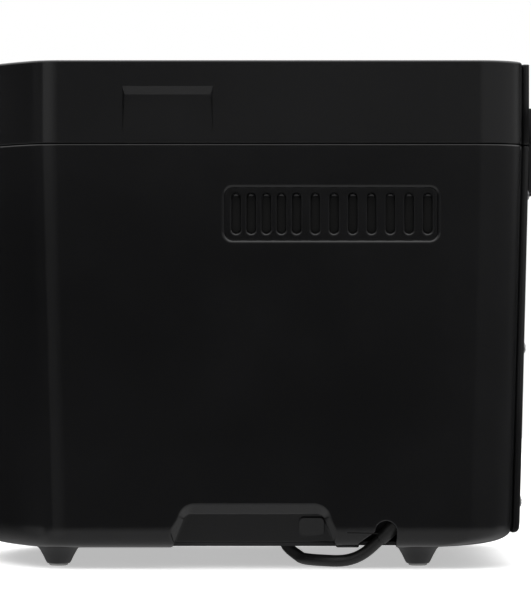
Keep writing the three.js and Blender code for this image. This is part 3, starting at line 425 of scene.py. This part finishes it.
def dress(obj, slot, edge=0.6, segments=3, angle=32):
    """Softens the edges, shades the surface and gives the finish."""
    mesh = obj.data
    mesh.materials.clear()
    mesh.materials.append(FINISH[slot])
    mesh.polygons.foreach_set("use_smooth", [True] * len(mesh.polygons))
    if edge:
        bevel = obj.modifiers.new("edge", "BEVEL")
        bevel.width = edge * MM
        bevel.segments = segments
        bevel.limit_method = "ANGLE"
        bevel.angle_limit = math.radians(angle)
        bevel.use_clamp_overlap = False
        bevel.miter_outer = "MITER_ARC"
        normals = obj.modifiers.new("normals", "WEIGHTED_NORMAL")
        normals.keep_sharp = True
    else:
        mesh.set_sharp_from_angle(angle=math.radians(angle))


def crisp(obj, low, high):
    """Keeps an edge sharp where its faces turn by more than low and less than high degrees."""
    form = bmesh.new()
    form.from_mesh(obj.data)
    for edge in form.edges:
        if len(edge.link_faces) == 2 and math.radians(low) < edge.calc_face_angle() < math.radians(high):
            edge.smooth = False
    form.to_mesh(obj.data)
    form.free()


def stand_for(obj, body, slot, *nodes):
    """Ties a piece to its body and hides the CAD nodes it replaces. The slot argument is not used."""
    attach(obj, body)
    if nodes:
        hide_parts(*nodes)


# ---------------------------------------------------------------- mains lead
def at(x, y, z):
    return Vector((x, y + CENTRING_Y, z)) * MM


def smooth_line(points, spacing=2.5):
    """A centripetal Catmull-Rom curve through points in metres, as points about spacing mm apart."""
    pts = [points[0] * 2 - points[1], *points, points[-1] * 2 - points[-2]]
    out = []
    for p0, p1, p2, p3 in zip(pts, pts[1:], pts[2:], pts[3:]):
        count = max(2, round((p2 - p1).length / (spacing * MM)))
        knots = [0.0]
        for a, b in ((p0, p1), (p1, p2), (p2, p3)):
            knots.append(knots[-1] + max((b - a).length, 1e-6) ** 0.5)
        t0, t1, t2, t3 = knots
        for i in range(count):
            t = t1 + (t2 - t1) * i / count
            a1 = p0 * ((t1 - t) / (t1 - t0)) + p1 * ((t - t0) / (t1 - t0))
            a2 = p1 * ((t2 - t) / (t2 - t1)) + p2 * ((t - t1) / (t2 - t1))
            a3 = p2 * ((t3 - t) / (t3 - t2)) + p3 * ((t - t2) / (t3 - t2))
            b1 = a1 * ((t2 - t) / (t2 - t0)) + a2 * ((t - t0) / (t2 - t0))
            b2 = a2 * ((t3 - t) / (t3 - t1)) + a3 * ((t - t1) / (t3 - t1))
            out.append(b1 * ((t2 - t) / (t2 - t1)) + b2 * ((t - t1) / (t2 - t1)))
    return [*out, points[-1].copy()]


def tube(name, points, radius, sides=4):
    """A round bar along the points. sides is Blender's bevel resolution."""
    data = bpy.data.curves.new(name, "CURVE")
    data.dimensions = "3D"
    data.bevel_depth = radius * MM
    data.bevel_resolution = sides
    data.use_fill_caps = True
    spline = data.splines.new("POLY")
    spline.points.add(len(points) - 1)
    for target, p in zip(spline.points, points):
        target.co = (*p, 1)
    obj = bpy.data.objects.new(name, data)
    bpy.context.scene.collection.objects.link(obj)
    return obj


def ease(value, low, high):
    t = min(1, max(0, (value - low) / (high - low)))
    return t * t * (3 - 2 * t)


def coil_points():
    """The coil's turns: low round the outside, in to the inner column, up a layer, and out again."""
    sweep = COIL_SWEEP
    points = []
    for turned in range(0, sweep["end"] + 1, sweep["step"]):
        inward = ease(turned, *sweep["inward"]) - ease(turned, *sweep["outward"])
        raised = ease(turned, *sweep["up"])
        radius = COIL["outer"] + (COIL["inner"] - COIL["outer"]) * inward
        height = COIL["low"] + (COIL["high"] - COIL["low"]) * raised
        angle = math.radians(270 - turned)
        points.append(at(COIL["x"] + radius * math.cos(angle), COIL["y"] + radius * math.sin(angle), height))
    return points


def make_lead():
    tail = [at(PLUG["x"], COIL["y"] + past, z) for past, z in LEAD_TAIL]
    line = smooth_line([at(*p) for p in LEAD] + coil_points() + tail)
    lead = tube("lead", line, CORD_R, sides=5)
    lead.data.materials.append(FINISH["black_rubber"])
    length = sum((b - a).length for a, b in zip(line, line[1:]))
    stand_for(lead, "machine", "black_rubber", "mains_lead", "lead_coil")
    return lead, line, length


def make_plug():
    """The plug with its ribbed neck and two pins, made upright and then laid down along y."""
    p = PLUG
    neck, r, end, pin_r, tip = p["neck"], p["r"], p["length"], p["pin"], p["pin_tip"]
    body = [(0, 0), (neck - 0.8, 0)]
    for i in range(5):
        z = 1.2 + 2.5 * i
        body += [(neck - 0.2, z), (neck - 0.2, z + 1.2), (neck - 1.1, z + 1.5), (neck - 1.1, z + 2.2)]
    body += [(neck, 14), (neck + 1.2, 16), (r - 2.4, 20), (r - 0.6, 22.5), (r, 25), (r, 38), (r - 0.7, 38.6),
             (r - 0.7, 39.4), (r, 40), (r, end - 1.4), (r - 1.2, end), (0, end)]
    plug = lathe("plug_body", body, 0, 0)
    pin_profile = [(0, end - 1), (pin_r, end - 1), (pin_r, tip - 1.7), (pin_r - 0.9, tip - 0.3), (0, tip)]
    pins = []
    for side in (1, -1):
        pin = lathe(f"plug_pin_{side}", pin_profile, 0, 0, 32)
        pin.data.transform(Matrix.Translation((side * p["pin_half"] * MM, 0, 0)))
        pins.append(pin)
    for piece in (plug, *pins):
        piece.data.transform(TO_ORIGIN)
        piece.data.transform(Matrix.Rotation(-math.pi / 2, 4, "X"))
        piece.data.transform(Matrix.Translation(at(p["x"], COIL["y"] + p["start"], p["z"])))
    dress(plug, "black_rubber", edge=0)
    stand_for(plug, "machine", "black_rubber", "mains_plug")
    for pin in pins:
        dress(pin, "bright_steel", edge=0)
        stand_for(pin, "machine", "bright_steel")
    return plug, pins


lead, lead_line, lead_length = make_lead()
plug, plug_pins = make_plug()


# ---------------------------------------------------------------- housing and lid
def quarter_turn(steps):
    return [i / steps * math.pi / 2 for i in range(steps + 1)]


def rounding(r, steps):
    """How far each ring of a rounded top edge lies below the top, and how far inside the wall."""
    return [(r * (1 - math.sin(a)), r * (1 - math.cos(a))) for a in quarter_turn(steps)] if r else [(0, 0)]


def housing_form(name, inset, rise, top, fillet=0.0):
    """The housing as a solid, with the big round at the bottom and a fillet at the top."""
    rings = []
    for a in quarter_turn(16):
        z = BOTTOM_Z + ROUND_H * (1 - math.cos(a))
        rings.append((z + rise, form_outline(z, inset, 1 - math.sin(a))))
    for below, inside in rounding(fillet, 5):
        rings.append((top - below, form_outline(top - below, inset + inside)))
    return loft(name, rings)


def skin(name, outer, inner, top):
    """A thin skin between two insets of the housing's form."""
    return cut(housing_form(name, outer, 0, top), housing_form("back", inner, 0, top + 1))


def side_prism(name, side, outline, near, far):
    return prism(name, "x", outline, side * near, side * far)


def grip_outline(grow, below):
    g = GRIP
    slope = (g["half_bottom"] - g["half_top"]) / (g["top"] - BOTTOM_Z)

    def half(z):
        return g["half_bottom"] + grow - slope * (z - BOTTOM_Z)

    top = g["top"] + grow
    c = max(3, g["corner"] + grow)
    bottom = BOTTOM_Z - below
    return [(g["y"] + half(bottom), bottom), *arc(g["y"] + half(top) - c, top - c, c, 10, 90, 10),
            *arc(g["y"] - half(top) + c, top - c, c, 90, 170, 10), (g["y"] - half(bottom), bottom)]


def grip_pocket(name, side, grow, below):
    """A pocket for the fingers, with a sloping rim that widens to the side face."""
    g = GRIP
    outer = 10
    places = ((g["face"] - g["depth"] - grow, -g["chamfer"]), (g["face"] - g["chamfer"], -g["chamfer"]),
              (g["face"] + outer, outer))
    pocket = loft(name, [(side * x, grip_outline(grow + more, below)) for x, more in places], "x")
    return shear(pocket, side, g["lean"], g["lean_z"], g["face"] - g["depth"] / 2)


def shear(obj, side, slope, about, inner=0.0):
    """Leans the part of a side cutter that lies within inner mm of the middle plane, or all of it."""
    for vertex in obj.data.vertices:
        if not inner or abs(vertex.co.x) < inner * MM:
            vertex.co.x += side * slope * (vertex.co.z - about * MM)
    return obj


def vent_frame(grow):
    v = VENT
    return rounded_rect(v["y"], v["z"], v["width"] / 2 + grow, v["height"] / 2 + grow, v["corner"] + grow, 8)


LEAN = TAPER_SIDE / (SEAM_Z - BOTTOM_Z)
VENT_SKIN_TOP = 245
VENT_FACE = HALF_WIDTH - LEAN * (SEAM_Z - VENT["z"])


def vent_bezel(side):
    """The sloping rim round the grille, which leans with the side face."""
    rim = VENT["rim"]
    places = ((VENT_FACE - VENT["recess"], -rim), (VENT_FACE + rim, rim))
    bezel = loft("bezel", [(side * x, vent_frame(grow)) for x, grow in places], "x")
    return shear(bezel, side, LEAN, VENT["z"])


def vent_slot(side, y):
    """A slot through the grille, whose top and bottom slope in towards its back."""
    s, z = SLOTS, VENT["z"]
    front = VENT_FACE - VENT["recess"]
    wide = slot_outline(y, z, s["half_w"], s["half_h"])
    tight = slot_outline(y, z - (s["slope_top"] - s["slope_bottom"]) / 2, s["half_w"],
                         s["half_h"] - (s["slope_top"] + s["slope_bottom"]) / 2)
    places = ((SIDE_SPAN[0], tight), (front - VENT["plate"], tight), (front, wide), (SIDE_SPAN[1], wide))
    return loft("slot", [(side * x, outline) for x, outline in places], "x")


def arch_outline():
    y, half, top, flare = ARCH["y"], ARCH["half"], ARCH["top"], ARCH["flare"]
    return [(y - half - flare, 0), (y + half, 0), *arc(y, top - half, half, 0, 180, 20),
            (y - half - flare, BOTTOM_Z + 3)]


def panel_outline(panel, grow=0.0):
    middle, half_z = (panel["z0"] + panel["z1"]) / 2, (panel["z1"] - panel["z0"]) / 2
    return rounded_rect(0, middle, panel["half_x"] + grow, half_z + grow, panel["corner"])


BASE_HOLE = dict(inset=6, depth=2.6)
PARTING_LINE = [(48, 21.3), (66, 20.7), (66, 21.3), (48, 21.9)]


def make_housing():
    """The outer shell, with the grips, and openings for the vents, the panel, the lead and the base plate."""
    hollow = housing_form("hollow", WALL, 2.5, SEAM_Z + 1)
    shell = cut(housing_form("housing", 0, 0, SEAM_Z, fillet=1.5), hollow)
    for side in (1, -1):
        walls = grip_pocket("walls", side, GRIP["wall"], 0)
        combine(shell, "UNION", combine(walls, "INTERSECT", housing_form("inside", 1, 0, SEAM_Z)))
        opening = side_prism("vent", side, vent_frame(-VENT["rim"]), *SIDE_SPAN)
        cut(shell, grip_pocket("pocket", side, 0, 5), opening, vent_bezel(side))
    base = form_outline(BOTTOM_Z, BASE_HOLE["inset"], 1)
    cut(shell, prism("base_hole", "z", base, 0, BOTTOM_Z + BASE_HOLE["depth"]))
    cut(shell, prism("fascia_hole", "y", panel_outline(FASCIA, GAP), *FRONT_SPAN))
    cut(shell, prism("arch", "x", arch_outline(), *ARCH_SPAN))
    dress(shell, "gloss_black", edge=0.8)
    stand_for(shell, "machine", "gloss_black", "outer_housing")


def make_parting_line():
    """The dark joint line between the grip and the lead's arch, a hair proud of the housing."""
    line = cut(housing_form("parting_line", -0.06, 0, 60), housing_form("core", 0.5, -1, 61))
    combine(line, "INTERSECT", prism("strip", "x", PARTING_LINE, *ARCH_SPAN))
    dress(line, "deep_black", edge=0)
    stand_for(line, "machine", "deep_black")


def make_grip_pads():
    """A raised pad on the back wall of each grip."""
    p = GRIP_PAD
    outline = rounded_rect(p["y"], p["z"], p["half_w"], p["half_h"], p["corner"])
    for side, word in ((1, "right"), (-1, "left")):
        pad = side_prism("grip_pad_" + word, side, outline, p["near"], p["far"])
        shear(pad, side, p["lean"], p["z"])
        dress(pad, "gloss_black", edge=0.5)
        stand_for(pad, "machine", "gloss_black")


SCREW_HEAD = [(0, 0), (3.3, 0), (3.3, 0.5), (2.7, 1.1), (1.5, 1.45), (0, 1.5)]
REAR_SCREWS = [(x, z) for x in (-82, 82) for z in (38, 130, 222)]
BASE_SCREWS = [(-95, -60), (-95, 70), (0, -150), (60, -95), (-60, 105), (60, 105)]


def make_screws():
    """Pan-head screws that hold the rear panel and the base plate."""
    slope = TAPER_REAR / (SEAM_Z - BOTTOM_Z)
    for i, (x, z) in enumerate(REAR_SCREWS):
        screw = lathe(f"rear_screw_{i}", SCREW_HEAD, 0, 0, 32)
        cut(screw, *[prism("slot", "z", rect(0, 0, w, h), 0.8, 3) for w, h in ((0.4, 2), (2, 0.4))])
        face = REAR_Y + GAP + REAR_PANEL - slope * (SEAM_Z - z)
        screw.data.transform(TO_ORIGIN)
        screw.data.transform(Matrix.Translation(at(x, face + 0.1, z)) @ Matrix.Rotation(-math.pi / 2, 4, "X"))
        dress(screw, "bright_steel", edge=0.1, segments=2)
        stand_for(screw, "machine", "bright_steel")
    for i, (x, y) in enumerate(BASE_SCREWS):
        screw = lathe(f"base_screw_{i}", [(r, -z) for r, z in SCREW_HEAD], x, y, 32)
        screw.data.transform(Matrix.Translation((0, 0, (BOTTOM_Z + 0.1) * MM)))
        dress(screw, "bright_steel", edge=0)
        stand_for(screw, "machine", "bright_steel")


def make_vent(side, word):
    """A slotted grille that reaches just under its bezel, and a near-black sheet behind it: painted shade for
    the dark inside seen through the slots.
    """
    v = VENT
    grille = skin("vent_" + word, v["recess"], v["recess"] + v["plate"], VENT_SKIN_TOP)
    combine(grille, "INTERSECT", side_prism("frame", side, vent_frame(v["under_rim"] - v["rim"]), *SIDE_SPAN))
    y = SLOTS["first"]
    cutters = []
    for i in range(SLOTS["narrow"] + SLOTS["wide"]):
        if i:
            y += SLOTS["narrow_pitch"] if i < SLOTS["narrow"] else SLOTS["wide_pitch"]
        cutters.append(vent_slot(side, y))
    cut(grille, *cutters)
    dress(grille, "gloss_black", edge=1.0)
    # the near-black matte sheet behind the slots is painted shade, standing in for the dark interior seen
    # through them
    shade_sheet = skin("vent_shade_sheet_" + word, SHADE_SHEET["front"], SHADE_SHEET["back"], VENT_SKIN_TOP)
    combine(shade_sheet, "INTERSECT", side_prism("frame", side, vent_frame(SHADE_SHEET["grow"]), *SIDE_SPAN))
    dress(shade_sheet, "deep_black", edge=0)
    stand_for(shade_sheet, "machine", "deep_black")
    stand_for(grille, "machine", "gloss_black", "vent_grille_" + word)


def lid_rings(inset, z0, z1, low=0.0, high=0.0):
    """The lid's rings, with its bottom edge rounded by low and its top edge by high."""
    foot = [(z0 + above, inset + inside) for inside, above in rounding(low, 5)]
    head = [(z1 - below, inset + inside) for below, inside in rounding(high, 8)]
    return [(z, form_outline(HEIGHT, inside)) for z, inside in foot + head]


def scoop(name, side, grow):
    """An overhanging rim at the top and both ends, and a back that runs out to the face below."""
    s = SCOOP
    out, lip = 2, 2
    over, wide = (out * s[key] / s["depth"] for key in ("drop", "end"))
    deep, face = HALF_WIDTH - s["depth"] - grow, HALF_WIDTH + out
    low, high = s["y"] - s["half"], s["y"] + s["half"]
    top, shoulder = s["top"] + over + grow, s["top"] - s["drop"]
    rise = shoulder - lip - s["bottom"]
    profile = [(face, s["bottom"] - grow - out * rise / s["depth"]), (face, top), (deep, shoulder + grow / 2),
               (deep, shoulder - lip)]
    plan = [(face, low - wide - grow), (face, high + wide + grow), (deep, high - s["end"] + grow / 2),
            (deep, low + s["end"] - grow / 2)]
    profile, plan = ([(side * u, v) for u, v in outline] for outline in (profile, plan))
    ends = prism("ends", "z", plan, s["bottom"] - 20, top)
    body = prism(name, "y", profile, low - wide - grow - 1, high + wide + grow + 1)
    return combine(body, "INTERSECT", ends)


def window_rect(grow):
    w = WINDOW
    return rounded_rect(0, CHAMBER_Y, w["half_x"] + grow, w["half_y"] + grow, w["corner"] + grow)


def make_lid():
    """The lid's shell, with a scoop in each side, the window's ledge and the steam slots."""
    bottom = SEAM_Z + SEAM_GAP
    lid = loft("lid", lid_rings(0, bottom, HEIGHT, low=0.5, high=1.6))
    cut(lid, loft("hollow", lid_rings(WALL, bottom - 1, HEIGHT - WALL)))
    for side in (1, -1):
        walls = scoop("walls", side, 2)
        combine(walls, "INTERSECT", loft("inside", lid_rings(1, bottom + 3, HEIGHT - 2)))
        combine(lid, "UNION", walls)
        cut(lid, scoop("pocket", side, 0))
    cut(lid, prism("window", "z", window_rect(-WINDOW["ledge"]), *LID_SPAN))
    cut(lid, prism("rebate", "z", window_rect(GAP), HEIGHT - WINDOW["depth"], LID_SPAN[1]))
    s = STEAM
    places = [(i - (s["count"] - 1) / 2) * s["pitch"] for i in range(s["count"])]
    slots = [slot_outline(x, s["y"], s["half"], s["length"]) for x in places]
    cut(lid, *[prism("steam", "z", outline, *LID_SPAN) for outline in slots])
    crisp(lid, 25, 75)
    dress(lid, "gloss_black", edge=0.6, angle=75)
    stand_for(lid, "lid", "gloss_black", "lid_shell")


# ---------------------------------------------------------------- control panel
FASCIA_SKIN_TOP = 246


def bow_radius(z):
    """The radius of the bowed front at a height."""
    return BOW_RADIUS - TAPER_BOW * (SEAM_Z - z) / (SEAM_Z - BOTTOM_Z)


def on_bow(obj, angle):
    """Turns a piece made on the front's middle line to its place round the bow."""
    pivot = at(0, BOW_CENTRE_Y, 0)
    obj.data.transform(Matrix.Translation(pivot) @ Matrix.Rotation(math.radians(angle), 4, "Z")
                       @ Matrix.Translation(-pivot))
    return obj


def button_hole(angle, r):
    """A round cutter through the panel, between two distances from the bow's centre."""
    near, far = 140, 200
    hole = prism("hole", "y", circle(0, BUTTON_Z, r + 0.4), BOW_CENTRE_Y - far, BOW_CENTRE_Y - near)
    return on_bow(hole, angle)


def make_fascia():
    """The bowed panel, with a hole for each key, and the display's pane in it."""
    plate = skin("fascia", -0.8, WALL, FASCIA_SKIN_TOP)
    combine(plate, "INTERSECT", prism("frame", "y", panel_outline(FASCIA), *FRONT_SPAN))
    holes = [button_hole(angle, r) for angle, r in BUTTONS.values()]
    cut(plate, prism("display_hole", "y", panel_outline(DISPLAY, GAP), *FRONT_SPAN), *holes)
    dress(plate, "gloss_black", edge=0.5)
    stand_for(plate, "machine", "gloss_black", "control_fascia")
    window = skin("display_pane", -0.5, 1.6, FASCIA_SKIN_TOP)
    combine(window, "INTERSECT", prism("frame", "y", panel_outline(DISPLAY), *FRONT_SPAN))
    dress(window, "display", edge=0.4)
    stand_for(window, "machine", "display", "display_window")


# Each segment's place across and up, in half digits, and whether it stands upright.
SEGMENTS = dict(a=(0, 1, 0), b=(1, 0.5, 1), c=(1, -0.5, 1), d=(0, -1, 0), e=(-1, -0.5, 1), f=(-1, 0.5, 1),
                g=(0, 0, 0))
DIGITS = ((-9.2, "abcdg"), (2.2, "abdeg"), (12.2, "abcdef"))
DIGIT_Z = 216
COLON = dict(x=-3.6, offset=2.6, half=0.7)


def make_digits():
    """A clock reading of three digits and a colon, in bars that stand just proud of the display."""
    half_w, half_h, thick = 3.0, 6.6, 0.62
    bars = []
    for x, lit in DIGITS:
        for key in lit:
            u, v, upright = SEGMENTS[key]
            w, h = (thick, half_h / 2 - 0.8) if upright else (half_w - 0.7, thick)
            bars.append((x + u * half_w, DIGIT_Z + v * half_h, w, h))
    for way in (1, -1):
        bars.append((COLON["x"], DIGIT_Z + way * COLON["offset"], COLON["half"], COLON["half"]))
    for i, (x, z, w, h) in enumerate(bars):
        face = bow_radius(z) + 0.5
        span = (BOW_CENTRE_Y - face - 0.12, BOW_CENTRE_Y - face + 0.4)
        bar = prism(f"digit_bar_{i}", "y", rect(0, z, w, h), *span)
        on_bow(bar, math.degrees(x / face))
        dress(bar, "digit_white", edge=0.05, segments=1)
        stand_for(bar, "machine", "digit_white")


def icon_shapes():
    """Simple signs: lines for the menu, a loaf, a triangle and bars for start and stop, minus and plus."""
    return {
        "menu": [rect(0, 1.7, 2.2, 0.35), rect(0, 0, 2.2, 0.35), rect(0, -1.7, 2.2, 0.35)],
        "loaf_size": [[(-2.3, -1.8), (2.3, -1.8), (2.3, 0.4), *arc(1.3, 0.6, 1.2, -10, 90, 6),
                       *arc(-1.3, 0.6, 1.2, 90, 190, 6), (-2.3, 0.4)]],
        "start_stop": [[(-2.9, -2.4), (-0.1, 0), (-2.9, 2.4)], rect(1.9, 0, 0.5, 2.2),
                       rect(3.6, 0, 0.5, 2.2)],
        "time_minus": [rect(0, 0, 2.2, 0.4)],
        "time_plus": [rect(0, 0, 2.2, 0.4), rect(0, 1.3, 0.4, 0.9), rect(0, -1.3, 0.4, 0.9)],
    }


def make_button(key, angle, r):
    """A dished cap with its sign and stem, made upright and then laid against the bow."""
    face = bow_radius(BUTTON_Z)
    cap_profile = [(0, -5), (r, -5), (r, 1.2), (r - 0.35, 1.9), (r - 1.0, 2.2), (r - 1.6, 2.05),
                   (r * 0.5, 1.75), (0, 1.65)]
    stem_profile = [(0, -16), (2, -16), (2, -5), (0, -5)]
    cap = lathe("button_cap_" + key, [(u, face + z) for u, z in cap_profile], 0, 0, 64)
    stem = lathe("button_stem_" + key, [(u, face + z) for u, z in stem_profile], 0, 0, 24)
    marks = []
    for i, outline in enumerate(icon_shapes()[key]):
        marks.append(prism(f"button_mark_{key}_{i}", "z", outline, face + 1.5, face + 1.95))
    lay = Matrix.Translation(at(0, BOW_CENTRE_Y, BUTTON_Z)) @ Matrix.Rotation(math.pi / 2, 4, "X") @ TO_ORIGIN
    for piece in (cap, stem, *marks):
        piece.data.transform(lay)
        on_bow(piece, angle)
    dress(cap, "button_plastic", edge=0)
    dress(stem, "button_plastic", edge=0.2)
    stand_for(cap, key + "_key", "button_plastic", "button_" + key)
    stand_for(stem, key + "_key", "button_plastic")
    for mark in marks:
        dress(mark, "icon_grey", edge=0.08, segments=2)
        stand_for(mark, key + "_key", "icon_grey")


# ---------------------------------------------------------------- feet
def make_foot(end, word, x, y):
    """A flared foot, cut to sit on the round of the housing and to hold its rubber pad."""
    f = FEET
    low, high = f["bottom_r"], f["top_r"]
    profile = [(0, 1.4), (low - 0.5, 1.4), (low, 1.8), (low + 0.5, 2.6), (low + 2.3, 6.3), (high - 1.2, 10),
               (high + 0.3, 11.4), (high + 0.6, 12), (high + 0.6, 20), (0, 20)]
    body = lathe(f"foot_{end}_{word}_body", profile, x, y)
    cut(body, housing_form("seat", -GAP, -GAP, 100),
        prism("pad_hole", "z", circle(x, y, f["pad_r"] + GAP), 0, f["pad_z"] + GAP))
    dress(body, "satin_black", edge=0)
    stand_for(body, "machine", "satin_black", f"foot_{end}_{word}")


# ---------------------------------------------------------------- pan, handle and heater
def rounded_path(corners, radii, steps=10):
    """A line through the corners, with each one between the ends rounded off."""
    out = [corners[0]]
    for before, here, after, r in zip(corners, corners[1:], corners[2:], radii):
        a = here + (before - here).normalized() * r * MM
        b = here + (after - here).normalized() * r * MM
        for i in range(steps + 1):
            t = i / steps
            out.append(a.lerp(here, t).lerp(here.lerp(b, t), t))
    return [*out, corners[-1]]


def make_handle():
    """The pan's wire handle, lying to the right, with its ends turned in through the tabs."""
    h = HANDLE
    inner = PAN["half_y"] - 4
    plan = [(0, inner), (0, h["y"]), (h["arm"], h["y"]), (h["arm"], -h["y"]), (0, -h["y"]), (0, -inner)]
    corners = [at(x, CHAMBER_Y + y, h["z"]) for x, y in plan]
    radii = (h["end_corner"], h["corner"], h["corner"], h["end_corner"])
    bail = tube("bail", rounded_path(corners, radii), h["wire"])
    bail.data.materials.append(FINISH["bright_steel"])
    stand_for(bail, "handle", "bright_steel", "pan_handle")


def make_heater():
    """The element round the chamber's wall, with both ends out at the back."""
    h = HEATER
    hx, hy = CHAMBER["half_x"] - h["clear"], CHAMBER["half_y"] - h["clear"]
    ex, ey = h["end_x"], h["end_y"]
    plan = [(ex, ey), (ex, hy), (hx, hy), (hx, -hy), (-hx, -hy), (-hx, hy), (-ex, hy), (-ex, ey)]
    corners = [at(x, CHAMBER_Y + y, h["z"]) for x, y in plan]
    radii = (h["end_corner"], *[h["corner"]] * 4, h["end_corner"])
    element = tube("heater_tube", rounded_path(corners, radii), h["r"])
    element.data.materials.append(FINISH["bright_steel"])
    stand_for(element, "machine", "bright_steel", "heating_element")


def pan_form(name, inset, z0, z1):
    rings = []
    for z in (z0, z1):
        t = (PAN["rim_z"] - z) / (PAN["rim_z"] - PAN["floor"])
        shrink = PAN["taper"] * t + inset
        rings.append((z, rounded_rect(0, CHAMBER_Y, PAN["half_x"] - shrink, PAN["half_y"] - shrink,
                                      PAN["corner"] - inset, 12)))
    return loft(name, rings)


def make_pan():
    """The pan with its rim, foot ring, handle tabs and the hole for the paddle's bush."""
    p, h = PAN, HANDLE
    pan = pan_form("pan", 0, p["floor"], p["rim_z"])
    wide, deep, corner_r = (p[key] + p["rim"] for key in ("half_x", "half_y", "corner"))
    rim = rounded_rect(0, CHAMBER_Y, wide, deep, corner_r, 12)
    foot = cut(prism("foot_ring", "z", circle(0, CHAMBER_Y, 42), 74, p["floor"] + 0.5),
               prism("foot_hole", "z", circle(0, CHAMBER_Y, 40), 60, p["floor"]))
    combine(pan, "UNION", prism("rim", "z", rim, p["rim_z"] - 2, p["rim_z"]), foot)
    holes = []
    for side in (1, -1):
        y = CHAMBER_Y + side * (p["half_y"] + 1.4) - 1
        low = p["rim_z"] - 12
        outline = [(-h["tab"], low), (h["tab"], low), *arc(0, h["z"], h["tab"], 0, 180, 20)]
        combine(pan, "UNION", prism("tab", "y", outline, y, y + 2))
        holes.append(prism("tab_hole", "y", circle(0, h["z"], h["wire"] + 0.4), y - 1, y + 3))
    cut(pan, *holes, pan_form("pan_hollow", p["wall"], p["floor"] + p["wall"] + 0.4, p["rim_z"] + 2),
        prism("bush_hole", "z", circle(0, CHAMBER_Y, 7.4), p["floor"] - 2, p["floor"] + 5))
    dress(pan, "nonstick", edge=0.5)
    stand_for(pan, "machine", "nonstick", "bread_pan")


for word, side_x in (("right", FEET["x"]), ("left", -FEET["x"])):
    for end in ("front", "rear"):
        make_foot(end, word, side_x, FEET[end])
make_handle()
make_heater()
make_pan()
make_housing()
make_parting_line()
make_grip_pads()
make_screws()
make_vent(1, "right")
make_vent(-1, "left")
make_lid()
make_fascia()
make_digits()
for key, (angle, radius) in BUTTONS.items():
    make_button(key, angle, radius)


# ---------------------------------------------------------------- CAD nodes that stay
def crease_group(angle):
    """A node group that shades smooth except across edges sharper than the angle."""
    group = bpy.data.node_groups.new("crease", "GeometryNodeTree")
    group.interface.new_socket("Geometry", in_out="INPUT", socket_type="NodeSocketGeometry")
    group.interface.new_socket("Geometry", in_out="OUTPUT", socket_type="NodeSocketGeometry")
    source = group.nodes.new("NodeGroupInput")
    sink = group.nodes.new("NodeGroupOutput")
    faces = group.nodes.new("GeometryNodeSetShadeSmooth")
    faces.domain = "FACE"
    edges = group.nodes.new("GeometryNodeSetShadeSmooth")
    edges.domain = "EDGE"
    turn = group.nodes.new("GeometryNodeInputMeshEdgeAngle")
    flat = group.nodes.new("FunctionNodeCompare")
    flat.operation = "LESS_THAN"
    flat.inputs[1].default_value = math.radians(angle)
    group.links.new(turn.outputs[0], flat.inputs[0])
    group.links.new(source.outputs[0], faces.inputs[0])
    group.links.new(faces.outputs[0], edges.inputs[0])
    group.links.new(flat.outputs[0], edges.inputs["Shade Smooth"])
    group.links.new(edges.outputs[0], sink.inputs[0])
    return group


CREASE = crease_group(32)


def keep_node(name, slot, edge):
    """Gives a CAD node its finish, a small bevel and smooth shading."""
    obj = NODES[name]
    obj.data.materials.clear()
    obj.data.materials.append(FINISH[slot])
    weld = obj.modifiers.new("weld", "WELD")
    weld.merge_threshold = 0.00001
    if edge:
        bevel = obj.modifiers.new("edge", "BEVEL")
        bevel.width = edge * MM
        bevel.segments = 2
        bevel.limit_method = "ANGLE"
        bevel.angle_limit = math.radians(40)
        bevel.use_clamp_overlap = True
    obj.modifiers.new("crease", "NODES").node_group = CREASE


EDGES = {"rear_panel": 1.2, "lid_rear_panel": 1.2, "top_deck": 0.6, "lid_window": 0.3, "coil_tie": 0.25,
         "hinge_bracket_right": 0.8, "hinge_bracket_left": 0.8, "hinge_knuckle_right": 0.8,
         "hinge_knuckle_left": 0.8, "chassis_plate": 0.4, "drive_coupling": 0.4, "lid_gasket": 0.8,
         "kneading_paddle": 0.8}
for part in frame["record"]["subparts"]:
    if not NODES[part["node"]].hide_render:
        keep_node(part["node"], part["material_slot"], EDGES.get(part["node"], 0))
